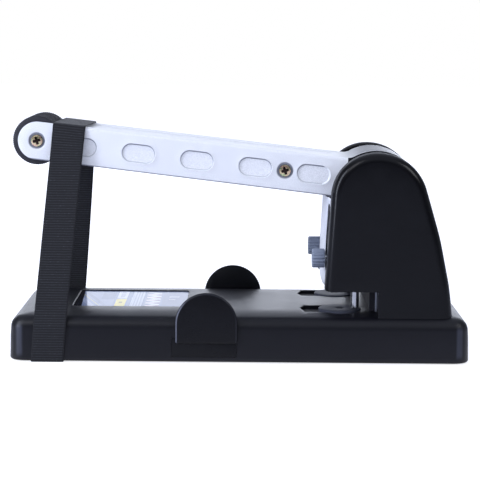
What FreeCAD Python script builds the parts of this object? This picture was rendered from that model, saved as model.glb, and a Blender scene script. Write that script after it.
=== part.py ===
import FreeCAD
import Part
import Sketcher

import math
import os
import re

# Heavy-duty two-hole paper punch, in millimetres.
# +X runs from the grip end to the punch head, -Y is the near side, +Z is up, and the origin lies on
# the floor under the middle of the base. The handle is down and strapped, with the punches lowered.

NEAR = -1
FAR = 1
SIDES = (("near", NEAR), ("far", FAR))

SIZES = [
    # alias, value, what it measures
    ("base_length", 395.0, "base housing, length"),
    ("base_rear", 197.5, "rear end of the base housing"),
    ("base_width", 156.4, "base housing, width"),
    ("base_top", 41.5, "height of the base top"),
    ("base_gap", 1.0, "height of the housing's lower rim"),
    ("base_corner", 14.0, "plan corner radius of the housing"),
    ("base_edge", 11.0, "radius along the housing's top edge"),
    ("base_wall", 3.0, "side wall of the housing"),
    ("top_wall", 3.0, "top wall of the housing"),
    ("rim_edge", 2.0, "radius along the housing's lower rim"),
    ("foot_height", 2.2, "height of a rubber foot"),
    ("foot_radius", 9.0, "radius of a rubber foot"),
    ("foot_left", 59.5, "left pair of feet from the left end"),
    ("foot_middle", 18.0, "middle pair of feet"),
    ("foot_right", 25.5, "right pair of feet from the rear end"),
    ("foot_inset", 20.2, "distance of the feet from the long sides"),
    ("bottom_thick", 1.8, "thickness of the bottom plate"),
    ("bottom_clear", 0.3, "gap round the bottom plate"),
    ("boss_end", 10.5, "outer screw bosses from the ends of the base"),
    ("boss_middle", 42.0, "middle screw bosses"),
    ("boss_inset", 16.2, "screw bosses from the long sides"),
    ("boss_radius", 4.5, "radius of a screw boss"),
    ("base_screw", 2.0, "shank radius of a bottom screw"),
    ("base_screw_head", 4.0, "head radius of a bottom screw"),
    ("base_screw_grip", 13.0, "length of a bottom screw in its boss"),
    ("label_end", 50.5, "label recess from the left end of the base"),
    ("label_length", 100.0, "length of the label recess"),
    ("label_near", -35.0, "near edge of the label recess"),
    ("label_far", 48.0, "far edge of the label recess"),
    ("label_depth", 2.0, "depth of the label recess"),
    ("label_thick", 1.0, "thickness of the label plate"),
    ("label_corner", 4.0, "corner radius of the label recess"),
    ("label_clear", 0.3, "gap round the label plate"),
    ("punch_spacing", 80.0, "distance between the two punched holes"),
    ("punch_x", 100.5, "punch axis"),
    ("punch_radius", 3.7, "outer radius of a punch tube"),
    ("punch_bore", 2.6, "bore radius of a punch tube"),
    ("punch_gap", 0.3, "gap between a lowered punch and its disc"),
    ("disc_x", 87.4, "axis of the cutting discs"),
    ("disc_radius", 18.5, "radius of a cutting disc"),
    ("disc_rise", 0.9, "height of a disc above the base top"),
    ("disc_clear", 0.4, "gap round a disc"),
    ("disc_pin", 2.2, "radius of a disc's centre pin"),
    ("run_fit", 0.06, "radial clearance of a running fit"),
    ("seat_fit", 0.05, "gap under a turning disc"),
    ("notch_tip", 53.0, "tip of the finger notch"),
    ("notch_head", 4.0, "length of the notch's arrow head"),
    ("notch_width", 30.0, "width of the finger notch"),
    ("chassis_thick", 4.0, "thickness of the chassis plate"),
    ("chassis_left", 50.0, "front edge of the chassis plate"),
    ("chassis_right", 178.0, "rear edge of the chassis plate"),
    ("chassis_half", 66.0, "half width of the chassis plate"),
    ("pivot_x", 118.0, "handle pivot, along the base"),
    ("pivot_z", 140.0, "handle pivot, height"),
    ("shaft_radius", 7.0, "radius of the fulcrum shaft"),
    ("shaft_half", 58.0, "half length of the fulcrum shaft"),
    ("clip_radius", 9.5, "radius of a shaft clip"),
    ("clip_thick", 1.5, "thickness of a shaft clip"),
    ("frame_inner", 50.6, "inner faces of the frame plates"),
    ("frame_thick", 4.0, "thickness of a frame plate"),
    ("frame_front", 84.0, "front edge of the frame plates"),
    ("frame_stop", 117.2, "front edge of the frame legs"),
    ("frame_rear", 168.0, "rear edge of the frame legs"),
    ("frame_top", 156.0, "top of the frame plates"),
    ("foot_reach", 12.0, "width of a frame plate's foot"),
    ("foot_front", 122.0, "front edge of a frame plate's foot"),
    ("bolt_radius", 2.5, "shank radius of the frame bolts"),
    ("bolt_head", 4.2, "head radius of the frame bolts"),
    ("bolt_head_height", 3.4, "head height of the frame bolts"),
    ("foot_bolt_front", 130.0, "front foot bolts"),
    ("foot_bolt_rear", 158.0, "rear foot bolts"),
    ("foot_bolt_offset", 61.0, "foot bolts from the centre line"),
    ("throat_top", 62.0, "underside of the punch guide block"),
    ("block_front", 84.0, "front face of the punch guide block"),
    ("block_rear", 114.0, "rear face of the punch guide block"),
    ("block_height", 12.0, "height of the punch guide block"),
    ("block_bolt_front", 89.5, "front bolts of the guide block"),
    ("block_bolt_rear", 110.5, "rear bolts of the guide block"),
    ("block_bolt_depth", 12.0, "depth of a bolt in the guide block"),
    ("bush_radius", 6.0, "outer radius of a punch bush"),
    ("bush_lip", 1.0, "how far a punch bush stands out of the block"),
    ("stop_x", 112.5, "face of the paper stop"),
    ("stop_thick", 3.0, "thickness of the paper stop"),
    ("stop_tab", 10.0, "length of the paper stop's side tabs"),
    ("stop_gap", 0.1, "gap between paper stop and frame plates"),
    ("rod_offset", 27.5, "guide rods from the centre line"),
    ("rod_radius", 4.0, "radius of a guide rod"),
    ("rod_top", 118.0, "top of the guide rods"),
    ("spring_inner", 4.8, "inner radius of a return spring"),
    ("spring_outer", 6.3, "outer radius of a return spring"),
    ("spring_clear", 0.2, "gap at the ends of a return spring"),
    ("spring_pocket", 14.0, "depth of a spring pocket in the carrier"),
    ("spring_pocket_radius", 7.3, "radius of a spring pocket"),
    ("carrier_front", 88.0, "front face of the punch carrier"),
    ("carrier_rear", 112.0, "rear face of the punch carrier"),
    ("carrier_half", 47.5, "half width of the punch carrier"),
    ("carrier_low", 80.0, "underside of the punch carrier"),
    ("carrier_height", 22.0, "height of the punch carrier"),
    ("punch_head", 3.0, "punch tube above the carrier"),
    ("yoke_inner", 10.0, "inner face of a yoke plate"),
    ("yoke_thick", 6.0, "thickness of a yoke plate"),
    ("yoke_front", 83.5, "front edge of a yoke plate"),
    ("yoke_rear", 106.0, "rear edge of a yoke plate"),
    ("yoke_wall", 5.0, "yoke plate above its slot"),
    ("yoke_foot", 7.0, "width of a yoke plate's foot"),
    ("yoke_foot_thick", 3.0, "thickness of a yoke plate's foot"),
    ("yoke_screw", 1.5, "shank radius of a yoke screw"),
    ("yoke_screw_head", 2.8, "head radius of a yoke screw"),
    ("crank_radius", 25.0, "crank pin from the handle pivot"),
    ("crank_drop", 27.5, "angle of the crank pin below the pivot"),
    ("crank_pin_radius", 4.0, "radius of the crank pin"),
    ("roller_radius", 6.0, "outer radius of a crank roller"),
    ("roller_side", 0.5, "how far a roller stands out of its plate"),
    ("slot_clear", 0.3, "gap round a roller in the yoke slot"),
    ("knob_x", 62.6, "free end of the knobs"),
    ("knob_back", 74.7, "inner end of the knobs"),
    ("knob_z", 86.2, "knob axis, height"),
    ("knob_radius", 8.3, "radius of a knob over its ribs"),
    ("knob_groove", 0.75, "radius of a groove between ribs"),
    ("knob_grooves", 18.0, "number of grooves"),
    ("stud_radius", 3.0, "radius of a clamping stud"),
    ("stud_collar", 4.0, "depth of a stud in its knob"),
    ("panel_front", 75.0, "front face of the front panel"),
    ("panel_lean", 2.3, "how far the front panel leans back at its top"),
    ("panel_thick", 2.0, "thickness of the front and rear panels"),
    ("panel_half", 50.3, "half width of the front and rear panels"),
    ("panel_top", 139.0, "top of the front panel"),
    ("panel_bend", 90.0, "height where the front panel starts to lean"),
    ("lip_top", 68.0, "height where the front panel's lip starts"),
    ("lip_bottom", 52.0, "lower edge of the front panel"),
    ("lip_back", 4.2, "how far the front panel's lip turns back"),
    ("panel_return", 12.0, "depth of the front panel's side returns"),
    ("knob_slot", 8.0, "width of a knob slot"),
    ("knob_slot_low", 74.0, "lower end of the knob slots"),
    ("knob_slot_high", 134.0, "upper end of the knob slots"),
    ("cover_outer", 71.0, "outer faces of the side covers"),
    ("cover_inner", 50.9, "inner edges of the side covers"),
    ("cover_wall", 2.5, "wall of a side cover"),
    ("cover_rim", 8.0, "radius along a cover's outer rim"),
    ("cover_front", 72.8, "front corner of a side cover"),
    ("cover_lean", 6.8, "how far a cover's front edge leans back"),
    ("cover_low", 61.4, "lower edge of a cover above the throat"),
    ("cover_top", 180.3, "top of a side cover"),
    ("cover_arch", 38.8, "radius of a cover's arch, front corner"),
    ("cover_arch_rear", 43.8, "radius of a cover's arch, rear corner"),
    ("cover_leg", 118.5, "front edge of a cover's leg"),
    ("cover_gap", 0.5, "gap between a cover and the base"),
    ("cover_back_high_x", 149.4, "rear outline, top corner"),
    ("cover_back_mid_x", 171.2, "rear outline, upper bend"),
    ("cover_back_mid_z", 107.0, "rear outline, upper bend height"),
    ("cover_back_low_x", 179.8, "rear outline, lower bend"),
    ("cover_back_low_z", 66.0, "rear outline, lower bend height"),
    ("cover_back_x", 182.9, "rear outline at the base"),
    ("cover_boss", 5.0, "radius of a cover boss"),
    ("cover_screw", 2.0, "shank radius of a cover screw"),
    ("cover_screw_head", 4.0, "head radius of a cover screw"),
    ("cover_screw_grip", 7.0, "length of a cover screw in its boss"),
    ("cover_boss_high_x", 103.0, "upper cover boss"),
    ("cover_boss_high_z", 150.0, "upper cover boss, height"),
    ("cover_boss_low_x", 150.0, "lower cover boss"),
    ("cover_boss_low_z", 78.0, "lower cover boss, height"),
    ("rear_top", 135.5, "top of the rear panel"),
    ("rear_inset", 0.4, "rear panel inside the covers' outline"),
    ("handle_slope", 6.2, "slope of the strapped handle"),
    ("grip_reach", 298.2, "grip axis from the pivot, along the handle"),
    ("grip_rise", 14.0, "grip axis above the pivot, across the handle"),
    ("channel_half", 35.0, "half width of the handle channel"),
    ("channel_wall", 1.6, "wall of the handle channel"),
    ("channel_up", 16.4, "top of the channel above the grip axis"),
    ("channel_down", 18.4, "channel below the grip axis at the pivot end"),
    ("trough_depth", 1.8, "depth of the trough along the top"),
    ("trough_edge", 5.5, "width of the ledge beside the trough"),
    ("web_start", 24.0, "where the top web starts, from the grip axis"),
    ("hood_radius", 39.8, "radius of the hood at the pivot"),
    ("channel_edge", 3.0, "radius along the channel's top edges"),
    ("lug_radius", 12.0, "radius of the channel's lug at the pivot"),
    ("lug_clear", 0.3, "gap between a lug and the shaft"),
    ("emboss_first", 37.7, "first embossing from the grip axis"),
    ("emboss_pitch", 51.0, "pitch of the embossings"),
    ("emboss_count", 5.0, "number of embossings on a side"),
    ("emboss_length", 27.0, "length of an embossing's floor"),
    ("emboss_height", 14.5, "height of an embossing's floor"),
    ("emboss_depth", 0.5, "depth of an embossing"),
    ("emboss_drop", 1.9, "embossings below the grip axis"),
    ("lever_inner", 19.0, "inner face of a lever arm"),
    ("lever_thick", 5.0, "thickness of a lever arm"),
    ("lever_end", 8.5, "radius of a lever arm's front end"),
    ("lever_hub", 12.0, "radius of a lever arm at the pivot"),
    ("lever_toe", 8.5, "radius of a lever arm at the crank pin"),
    ("bush_wall", 2.0, "wall of a lever bush"),
    ("lever_screw_reach", 81.5, "handle screw from the pivot"),
    ("lever_screw_rise", 13.2, "handle screw above the pivot"),
    ("spacer_radius", 6.0, "outer radius of the spacer tube"),
    ("screw_radius", 3.0, "shank radius of a handle screw"),
    ("screw_head", 5.7, "head radius of a handle screw"),
    ("screw_head_height", 2.6, "head height of a handle screw"),
    ("screw_grip", 9.0, "length of a handle screw in its thread"),
    ("dimple_radius", 7.4, "radius of the dimple round a screw"),
    ("dimple_depth", 1.0, "depth of the dimple round a screw"),
    ("axle_radius", 5.0, "radius of the grip axle"),
    ("core_radius", 16.0, "outer radius of the grip core"),
    ("grip_radius", 21.2, "outer radius of the grip sleeve"),
    ("grip_clear", 0.6, "gap between the grip and the flanges"),
    ("side_spacer", 10.0, "outer radius of a shaft spacer"),
    ("side_clear", 0.3, "gap between handle and shaft spacers"),
    ("guide_x", -28.4, "centre of the near paper guide"),
    ("guide_radius", 26.6, "radius of a guide's round top"),
    ("guide_top", 61.1, "top of the paper guides"),
    ("guide_low", 18.0, "lower edge of a guide's tab"),
    ("guide_thick", 2.2, "thickness of a guide's tab"),
    ("guide_gap", 0.2, "gap between a tab and the housing"),
    ("slide_x", -30.2, "centre of the near guide's slide block"),
    ("slide_half", 27.6, "half length of a slide block"),
    ("slide_low", 5.5, "underside of a slide block"),
    ("slide_high", 21.5, "top of a slide block"),
    ("slide_depth", 3.2, "depth of a slide block"),
    ("slide_clear", 0.3, "gap round a slide block"),
    ("pinion_x", -17.5, "axis of the guide pinion"),
    ("gear_module", 1.0, "module of rack and pinion"),
    ("gear_teeth", 12.0, "teeth of the pinion"),
    ("gear_low", 7.0, "underside of racks and pinion"),
    ("gear_height", 6.0, "height of racks and pinion"),
    ("gear_back", 0.05, "thinning of each tooth flank"),
    ("rack_body", 8.0, "width of a rack behind its teeth"),
    ("rack_room", 5.2, "inner end of a rack from the far side"),
    ("rack_teeth", 25.0, "teeth of a rack"),
    ("pin_radius", 2.0, "radius of the pinion pin"),
    ("pin_head", 3.4, "head radius of the pinion pin"),
    ("rail_margin", 2.5, "width of a rail's side lip"),
    ("rail_gap", 0.1, "gap between rail and racks"),
    ("rail_room", 8.2, "rack rail from the long sides"),
    ("strap_width", 28.0, "width of the elastic strap"),
    ("strap_thick", 0.9, "thickness of the elastic strap"),
    ("strap_end", 19.6, "left edge of the strap from the left end, at the floor"),
    ("strap_ahead", 14.8, "left edge of the strap from the grip axis, at the top"),
    ("strap_clear", 0.35, "gap between strap and what it holds"),
    ("strap_under", 0.05, "gap between strap and the housing's lower rim"),
]

# Lengths that several pieces share, as expressions on the sheet.
BASE_LEFT = "base_rear - base_length"
BASE_Y = "base_width / 2"
CAVITY_TOP = "base_top - top_wall"
BOTTOM_TOP = "foot_height + bottom_thick"
DISC_TOP = "base_top + disc_rise"
PUNCH_Y = "punch_spacing / 2"
FRAME_OUTER = "frame_inner + frame_thick"
BLOCK_TOP = "throat_top + block_height"
CARRIER_TOP = "carrier_low + carrier_height"
PIN_X = "pivot_x - crank_radius * cos(crank_drop)"
PIN_Z = "pivot_z - crank_radius * sin(crank_drop)"
PIN_FRONT = "pivot_x - crank_radius"
CHANNEL_TOP = "grip_rise + channel_up"
CHANNEL_LOW = "grip_rise - channel_down"
CHANNEL_IN = "channel_half - channel_wall"
DIMPLE_FLOOR = "channel_half - dimple_depth"
GRIP_HALF = "channel_half - channel_wall - grip_clear"
LEVER_OUTER = "lever_inner + lever_thick"
LOCAL_PIN_X = "-crank_radius * cos(crank_drop + handle_slope)"
LOCAL_PIN_Z = "-crank_radius * sin(crank_drop + handle_slope)"
GUIDE_FACE = "base_width / 2 + guide_gap"
PITCH_RADIUS = "gear_module * gear_teeth / 2"
GEAR_TOP = "gear_low + gear_height"
RAIL_END = "base_width / 2 - rail_room"
LABEL_LEFT = f"{BASE_LEFT} + label_end"
STRAP_LEFT = f"{BASE_LEFT} + strap_end"
GRIP_X = "pivot_x - grip_reach * cos(handle_slope) + grip_rise * sin(handle_slope)"
STUD_TIP = "punch_x - punch_radius"


class Model:
    """The document, its sheet of sizes and the shapes that are bound to it."""

    def __init__(self, name, sizes):
        self.doc = FreeCAD.newDocument(name)
        self.sheet = self.doc.addObject("Spreadsheet::Sheet", "Sizes")
        for row, (alias, value, note) in enumerate(sizes, start=1):
            self.sheet.set(f"A{row}", note)
            self.sheet.set(f"B{row}", str(value))
            self.sheet.setAlias(f"B{row}", alias)
        self.doc.recompute()
        names = sorted((alias for alias, _, _ in sizes), key=len, reverse=True)
        self.alias = re.compile(r"\b(" + "|".join(names) + r")\b")
        self.nodes = []

    def bound(self, text):
        """The expression with its aliases pointing at the sheet."""
        return self.alias.sub(r"Sizes.\1", text)

    def value(self, text):
        """What an expression comes to."""
        return float(self.sheet.evalExpression(self.bound(text)))

    def node(self, solid, label):
        """Name a finished sub-part."""
        solid.Label = label
        self.nodes.append(solid)
        return solid

    def place(self, solid, axis, centre):
        """Bind the place of a primitive that runs along an axis."""
        turns = {
            "x": FreeCAD.Rotation(FreeCAD.Vector(0, 1, 0), 90),
            "y": FreeCAD.Rotation(FreeCAD.Vector(1, 0, 0), -90),
            "z": FreeCAD.Rotation(),
        }
        solid.Placement = FreeCAD.Placement(FreeCAD.Vector(), turns[axis])
        for name, text in zip("xyz", centre):
            solid.setExpression(f"Placement.Base.{name}", self.bound(text))
        return solid

    def block(self, name, x, y, z):
        """A box between pairs of expressions."""
        solid = self.doc.addObject("Part::Box", name)
        for axis, side, (low, high) in zip("xyz", ("Length", "Width", "Height"), (x, y, z)):
            solid.setExpression(side, self.bound(f"({high}) - ({low})"))
            solid.setExpression(f"Placement.Base.{axis}", self.bound(low))
        return solid

    def rod(self, name, axis, centre, radius, low, high):
        """A cylinder along an axis; centre gives the two other coordinates in order."""
        solid = self.doc.addObject("Part::Cylinder", name)
        solid.setExpression("Radius", self.bound(radius))
        solid.setExpression("Height", self.bound(f"({high}) - ({low})"))
        where = list(centre)
        where.insert("xyz".index(axis), low)
        return self.place(solid, axis, where)

    def hexagon(self, name, axis, centre, radius, low, high):
        """A hexagonal head or nut along an axis."""
        solid = self.doc.addObject("Part::Prism", name)
        solid.Polygon = 6
        solid.setExpression("Circumradius", self.bound(radius))
        solid.setExpression("Height", self.bound(f"({high}) - ({low})"))
        where = list(centre)
        where.insert("xyz".index(axis), low)
        return self.place(solid, axis, where)

    def fuse(self, name, solids):
        """Several solids joined into one."""
        if len(solids) == 1:
            return solids[0]
        whole = self.doc.addObject("Part::MultiFuse", name)
        whole.Shapes = solids
        return whole

    def cut(self, name, base, tools):
        """A solid with tools taken out of it."""
        rest = self.doc.addObject("Part::Cut", name)
        rest.Base = base
        rest.Tool = self.fuse(name + "_tools", tools)
        return rest

    def group(self, name, solids):
        """Separate solids kept in one node."""
        whole = self.doc.addObject("Part::Compound", name)
        whole.Links = solids
        return whole

    def pipe(self, name, axis, centre, outer, inner, low, high):
        """A tube along an axis."""
        body = self.rod(name + "_outside", axis, centre, outer, low, high)
        bore = self.rod(name + "_inside", axis, centre, inner, low, high)
        return self.cut(name, body, [bore])

    def prism(self, name, plane, outline, low, high):
        """A body padded from a polygon; an outline point may carry a corner radius.

        On the XZ plane the pad runs along Y, and on the XY plane along Z.
        """
        body = self.doc.addObject("PartDesign::Body", name)
        sketch = body.newObject("Sketcher::SketchObject", name + "_outline")
        role = plane + "_Plane"
        origin = next(item for item in body.Origin.OriginFeatures if item.Role == role)
        sketch.AttachmentSupport = [(origin, "")]
        sketch.MapMode = "FlatFace"
        corners = [(self.value(point[0]), self.value(point[1])) for point in outline]
        count = len(corners)
        for index in range(count):
            start = FreeCAD.Vector(*corners[index], 0)
            end = FreeCAD.Vector(*corners[(index + 1) % count], 0)
            sketch.addGeometry(Part.LineSegment(start, end), False)
        for index in range(count):
            after = (index + 1) % count
            sketch.addConstraint(Sketcher.Constraint("Coincident", index, 2, after, 1))
        for index, point in enumerate(outline):
            for kind, text in (("DistanceX", point[0]), ("DistanceY", point[1])):
                rule = Sketcher.Constraint(kind, -1, 1, index, 1, self.value(text))
                number = sketch.addConstraint(rule)
                sketch.setExpression(f"Constraints[{number}]", self.bound(text))
        offset = f"-({high})" if plane == "XZ" else low
        sketch.setExpression("AttachmentOffset.Base.z", self.bound(offset))
        pad = body.newObject("PartDesign::Pad", name + "_pad")
        pad.Profile = sketch
        pad.setExpression("Length", self.bound(f"({high}) - ({low})"))
        self.doc.recompute()
        tip = pad
        for radius in dict.fromkeys(point[2] for point in outline if len(point) > 2):
            spots = [corner for corner, point in zip(corners, outline) if point[2:] == (radius,)]
            edges = self.upright_edges(tip.Shape, plane, spots)
            tip = self.round_edges(body, tip, edges, radius)
        return body

    def upright_edges(self, shape, plane, spots):
        """Names of the edges that run along the pad at the given outline corners."""
        keep = (0, 2) if plane == "XZ" else (0, 1)
        found = []
        for number, edge in enumerate(shape.Edges, start=1):
            ends = [vertex.Point for vertex in edge.Vertexes]
            for spot in spots:
                if all(abs(end[keep[0]] - spot[0]) < 1e-4 and abs(end[keep[1]] - spot[1]) < 1e-4
                       for end in ends):
                    found.append(f"Edge{number}")
        return found

    def round_edges(self, body, base, edges, radius):
        """Fillet named edges of a body's last feature."""
        fillet = body.newObject("PartDesign::Fillet", base.Name + "_round")
        fillet.Base = (base, edges)
        fillet.setExpression("Radius", self.bound(radius))
        self.doc.recompute()
        return fillet

    def round_rim(self, body, axis, level, radius, keep=None):
        """Fillet the edges that lie wholly at one level along an axis."""
        where = self.value(level)
        low, high = axis.upper() + "Min", axis.upper() + "Max"
        edges = []
        for number, edge in enumerate(body.Tip.Shape.Edges, start=1):
            box = edge.BoundBox
            flat = abs(getattr(box, low) - where) < 1e-4 and abs(getattr(box, high) - where) < 1e-4
            if flat and (keep is None or keep(box)):
                edges.append(f"Edge{number}")
        return self.round_edges(body, body.Tip, edges, radius)

    def shape(self, name, solid):
        """A sub-part whose form has no primitive or sketch of its own."""
        feature = self.doc.addObject("Part::Feature", name)
        feature.Shape = solid
        return feature

    def tilt(self, solid):
        """Carry a piece drawn along the handle to the handle's place."""
        turn = FreeCAD.Rotation(FreeCAD.Vector(0, 1, 0), self.value("handle_slope"))
        solid.Placement = FreeCAD.Placement(FreeCAD.Vector(), turn)
        solid.setExpression("Placement.Base.x", self.bound("pivot_x"))
        solid.setExpression("Placement.Base.z", self.bound("pivot_z"))
        solid.setExpression("Placement.Rotation.Angle", self.bound("handle_slope"))
        return solid

    def export(self, folder):
        """Check every object and write each sub-part to its own file."""
        self.doc.recompute()
        for item in self.doc.Objects:
            bad = [state for state in item.State if state in ("Invalid", "Error")]
            if bad:
                raise RuntimeError(f"{item.Name} is {bad}")
        for solid in self.nodes:
            body = solid.Shape
            if body.isNull() or not body.isValid() or not body.Solids:
                raise RuntimeError(f"{solid.Label} has no valid solid")
        os.makedirs(folder, exist_ok=True)
        for solid in self.nodes:
            solid.Shape.exportStep(os.path.join(folder, solid.Label + ".step"))
            print(f"{solid.Label}: {len(solid.Shape.Solids)} solid(s), "
                  f"{solid.Shape.Volume / 1000:.2f} cm3")


def span(side, inner, outer):
    """Low and high Y of a stretch on the near or the far side."""
    if side == FAR:
        return inner, outer
    return f"-({outer})", f"-({inner})"


def at(side, distance):
    """Y of a distance from the centre line on one side."""
    return distance if side == FAR else f"-({distance})"


def rounded(x, y, radius):
    """A rectangle's outline with one corner radius."""
    return [(x[0], y[0], radius), (x[1], y[0], radius), (x[1], y[1], radius), (x[0], y[1], radius)]


def label_outline(inset):
    """The label recess, or the plate in it, with a gap all round."""
    return rounded((f"{LABEL_LEFT} + {inset}", f"{LABEL_LEFT} + label_length - {inset}"),
                   (f"label_near + {inset}", f"label_far - {inset}"),
                   f"label_corner - {inset}")


def boss_spots():
    """Places of the bottom screws."""
    columns = (f"{BASE_LEFT} + boss_end", "boss_middle", "base_rear - boss_end")
    return [(x, at(side, f"{BASE_Y} - boss_inset")) for x in columns for _, side in SIDES]


def foot_bolt_spots():
    """Places of the bolts through the frame plates' feet."""
    columns = ("foot_bolt_front", "foot_bolt_rear")
    return [(x, at(side, "foot_bolt_offset")) for x in columns for _, side in SIDES]


def guide_mirror(side, x):
    """X on the near guide, or its mate across the pinion on the far guide."""
    return x if side == NEAR else f"2 * pinion_x - ({x})"


def ordered(side, low, high):
    """A pair of X values in rising order after the guide's mirroring."""
    pair = (guide_mirror(side, low), guide_mirror(side, high))
    return pair if side == NEAR else (pair[1], pair[0])


def make_base_housing(model):
    """Moulded base, open underneath, with its recess, wells, notches and guide openings."""
    x = (BASE_LEFT, "base_rear")
    y = (f"-{BASE_Y}", BASE_Y)
    outside = model.prism("housing_outside", "XY", rounded(x, y, "base_corner"),
                          "base_gap", "base_top")
    model.round_rim(outside, "z", "base_top", "base_edge")
    model.round_rim(outside, "z", "base_gap", "rim_edge")
    inside_x = (f"{BASE_LEFT} + base_wall", "base_rear - base_wall")
    inside_y = (f"-({BASE_Y} - base_wall)", f"{BASE_Y} - base_wall")
    inside = model.prism("housing_inside", "XY",
                         rounded(inside_x, inside_y, "base_corner - base_wall"),
                         "0", CAVITY_TOP)
    model.round_rim(inside, "z", CAVITY_TOP, "base_edge - base_wall")
    shell = model.cut("housing_shell", outside, [inside])
    bosses = [model.rod(f"boss_{index}", "z", spot, "boss_radius", BOTTOM_TOP,
                        f"{CAVITY_TOP} + top_wall / 2")
              for index, spot in enumerate(boss_spots())]
    body = model.fuse("housing_body", [shell] + bosses)
    tools = [model.rod(f"boss_hole_{index}", "z", spot, "base_screw", "0",
                       f"{BOTTOM_TOP} + base_screw_grip")
             for index, spot in enumerate(boss_spots())]
    tools += [model.rod(f"foot_bolt_hole_{index}", "z", spot, "bolt_radius",
                        f"{CAVITY_TOP} - 1", "base_top + 1")
              for index, spot in enumerate(foot_bolt_spots())]
    tools.append(model.prism("label_recess", "XY", label_outline("0"),
                             "base_top - label_depth", "base_top + 1"))
    for name, side in SIDES:
        middle = at(side, PUNCH_Y)
        tools.append(model.rod(f"disc_well_{name}", "z", ("disc_x", middle),
                               "disc_radius + disc_clear", f"{CAVITY_TOP} - 1", "base_top + 1"))
        outline = [("notch_tip", middle),
                   ("notch_tip + notch_head", f"{middle} - notch_width / 2"),
                   ("disc_x - disc_radius / 2", f"{middle} - notch_width / 2"),
                   ("disc_x - disc_radius / 2", f"{middle} + notch_width / 2"),
                   ("notch_tip + notch_head", f"{middle} + notch_width / 2")]
        tools.append(model.prism(f"notch_{name}", "XY", outline,
                                 f"{CAVITY_TOP} - 1", "base_top + 1"))
        low, high = ordered(side, "slide_x - slide_half", "slide_x + slide_half")
        tools.append(model.block(f"guide_opening_{name}",
                                 (f"{low} - slide_clear", f"{high} + slide_clear"),
                                 span(side, f"{BASE_Y} - base_wall - 1", f"{BASE_Y} + 1"),
                                 ("slide_low - slide_clear", "slide_high + slide_clear")))
    model.node(model.cut("base_housing", body, tools), "base_housing")


def make_base_floor(model):
    """Bottom plate, its screws and the rubber feet."""
    x = (f"{BASE_LEFT} + base_wall + bottom_clear", "base_rear - base_wall - bottom_clear")
    y = (f"-({BASE_Y} - base_wall - bottom_clear)", f"{BASE_Y} - base_wall - bottom_clear")
    plate = model.prism("bottom_sheet", "XY", rounded(x, y, "base_corner - base_wall"),
                        "foot_height", BOTTOM_TOP)
    holes = [model.rod(f"plate_hole_{index}", "z", spot, "base_screw", "0", f"{BOTTOM_TOP} + 1")
             for index, spot in enumerate(boss_spots())]
    model.node(model.cut("bottom_plate", plate, holes), "bottom_plate")
    screws = []
    for index, spot in enumerate(boss_spots()):
        head = model.rod(f"base_head_{index}", "z", spot, "base_screw_head",
                         "foot_height - bottom_thick / 2", "foot_height")
        shank = model.rod(f"base_shank_{index}", "z", spot, "base_screw", "foot_height",
                          f"{BOTTOM_TOP} + base_screw_grip")
        screws.append(model.fuse(f"base_screw_{index}", [head, shank]))
    model.node(model.group("bottom_screws", screws), "bottom_screws")
    feet = []
    columns = (("foot_left", f"{BASE_LEFT} + foot_left"), ("foot_middle", "foot_middle"),
               ("foot_right", "base_rear - foot_right"))
    for column, x in columns:
        for name, side in SIDES:
            feet.append(model.rod(f"{column}_{name}", "z",
                                  (x, at(side, f"{BASE_Y} - foot_inset")),
                                  "foot_radius", "0", "foot_height"))
    model.node(model.group("rubber_feet", feet), "rubber_feet")
    plate = model.prism("label_plate", "XY", label_outline("label_clear"),
                        "base_top - label_depth", "base_top - label_depth + label_thick")
    model.node(plate, "label_plate")


def make_chassis(model):
    """Steel plate under the base top that carries discs and frame."""
    plate = model.block("chassis_sheet", ("chassis_left", "chassis_right"),
                        ("-chassis_half", "chassis_half"),
                        (f"{CAVITY_TOP} - chassis_thick", CAVITY_TOP))
    holes = [model.rod(f"chassis_hole_{index}", "z", spot, "bolt_radius",
                       f"{CAVITY_TOP} - chassis_thick - 1", f"{CAVITY_TOP} + 1")
             for index, spot in enumerate(foot_bolt_spots())]
    model.node(model.cut("chassis_plate", plate, holes), "chassis_plate")
    pins = []
    for name, side in SIDES:
        spot = ("disc_x", at(side, PUNCH_Y))
        pins.append(model.rod(f"disc_pin_{name}", "z", spot, "disc_pin", CAVITY_TOP,
                              f"{DISC_TOP} - disc_rise / 2"))
        disc = model.rod(f"disc_blank_{name}", "z", spot, "disc_radius",
                         f"{CAVITY_TOP} + seat_fit", DISC_TOP)
        bore = model.rod(f"disc_bore_{name}", "z", spot, "disc_pin + run_fit",
                         CAVITY_TOP, f"{DISC_TOP} + 1")
        model.node(model.cut(f"cutting_disc_{name}", disc, [bore]), f"cutting_disc_{name}")
    model.node(model.group("disc_pins", pins), "disc_pins")


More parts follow.
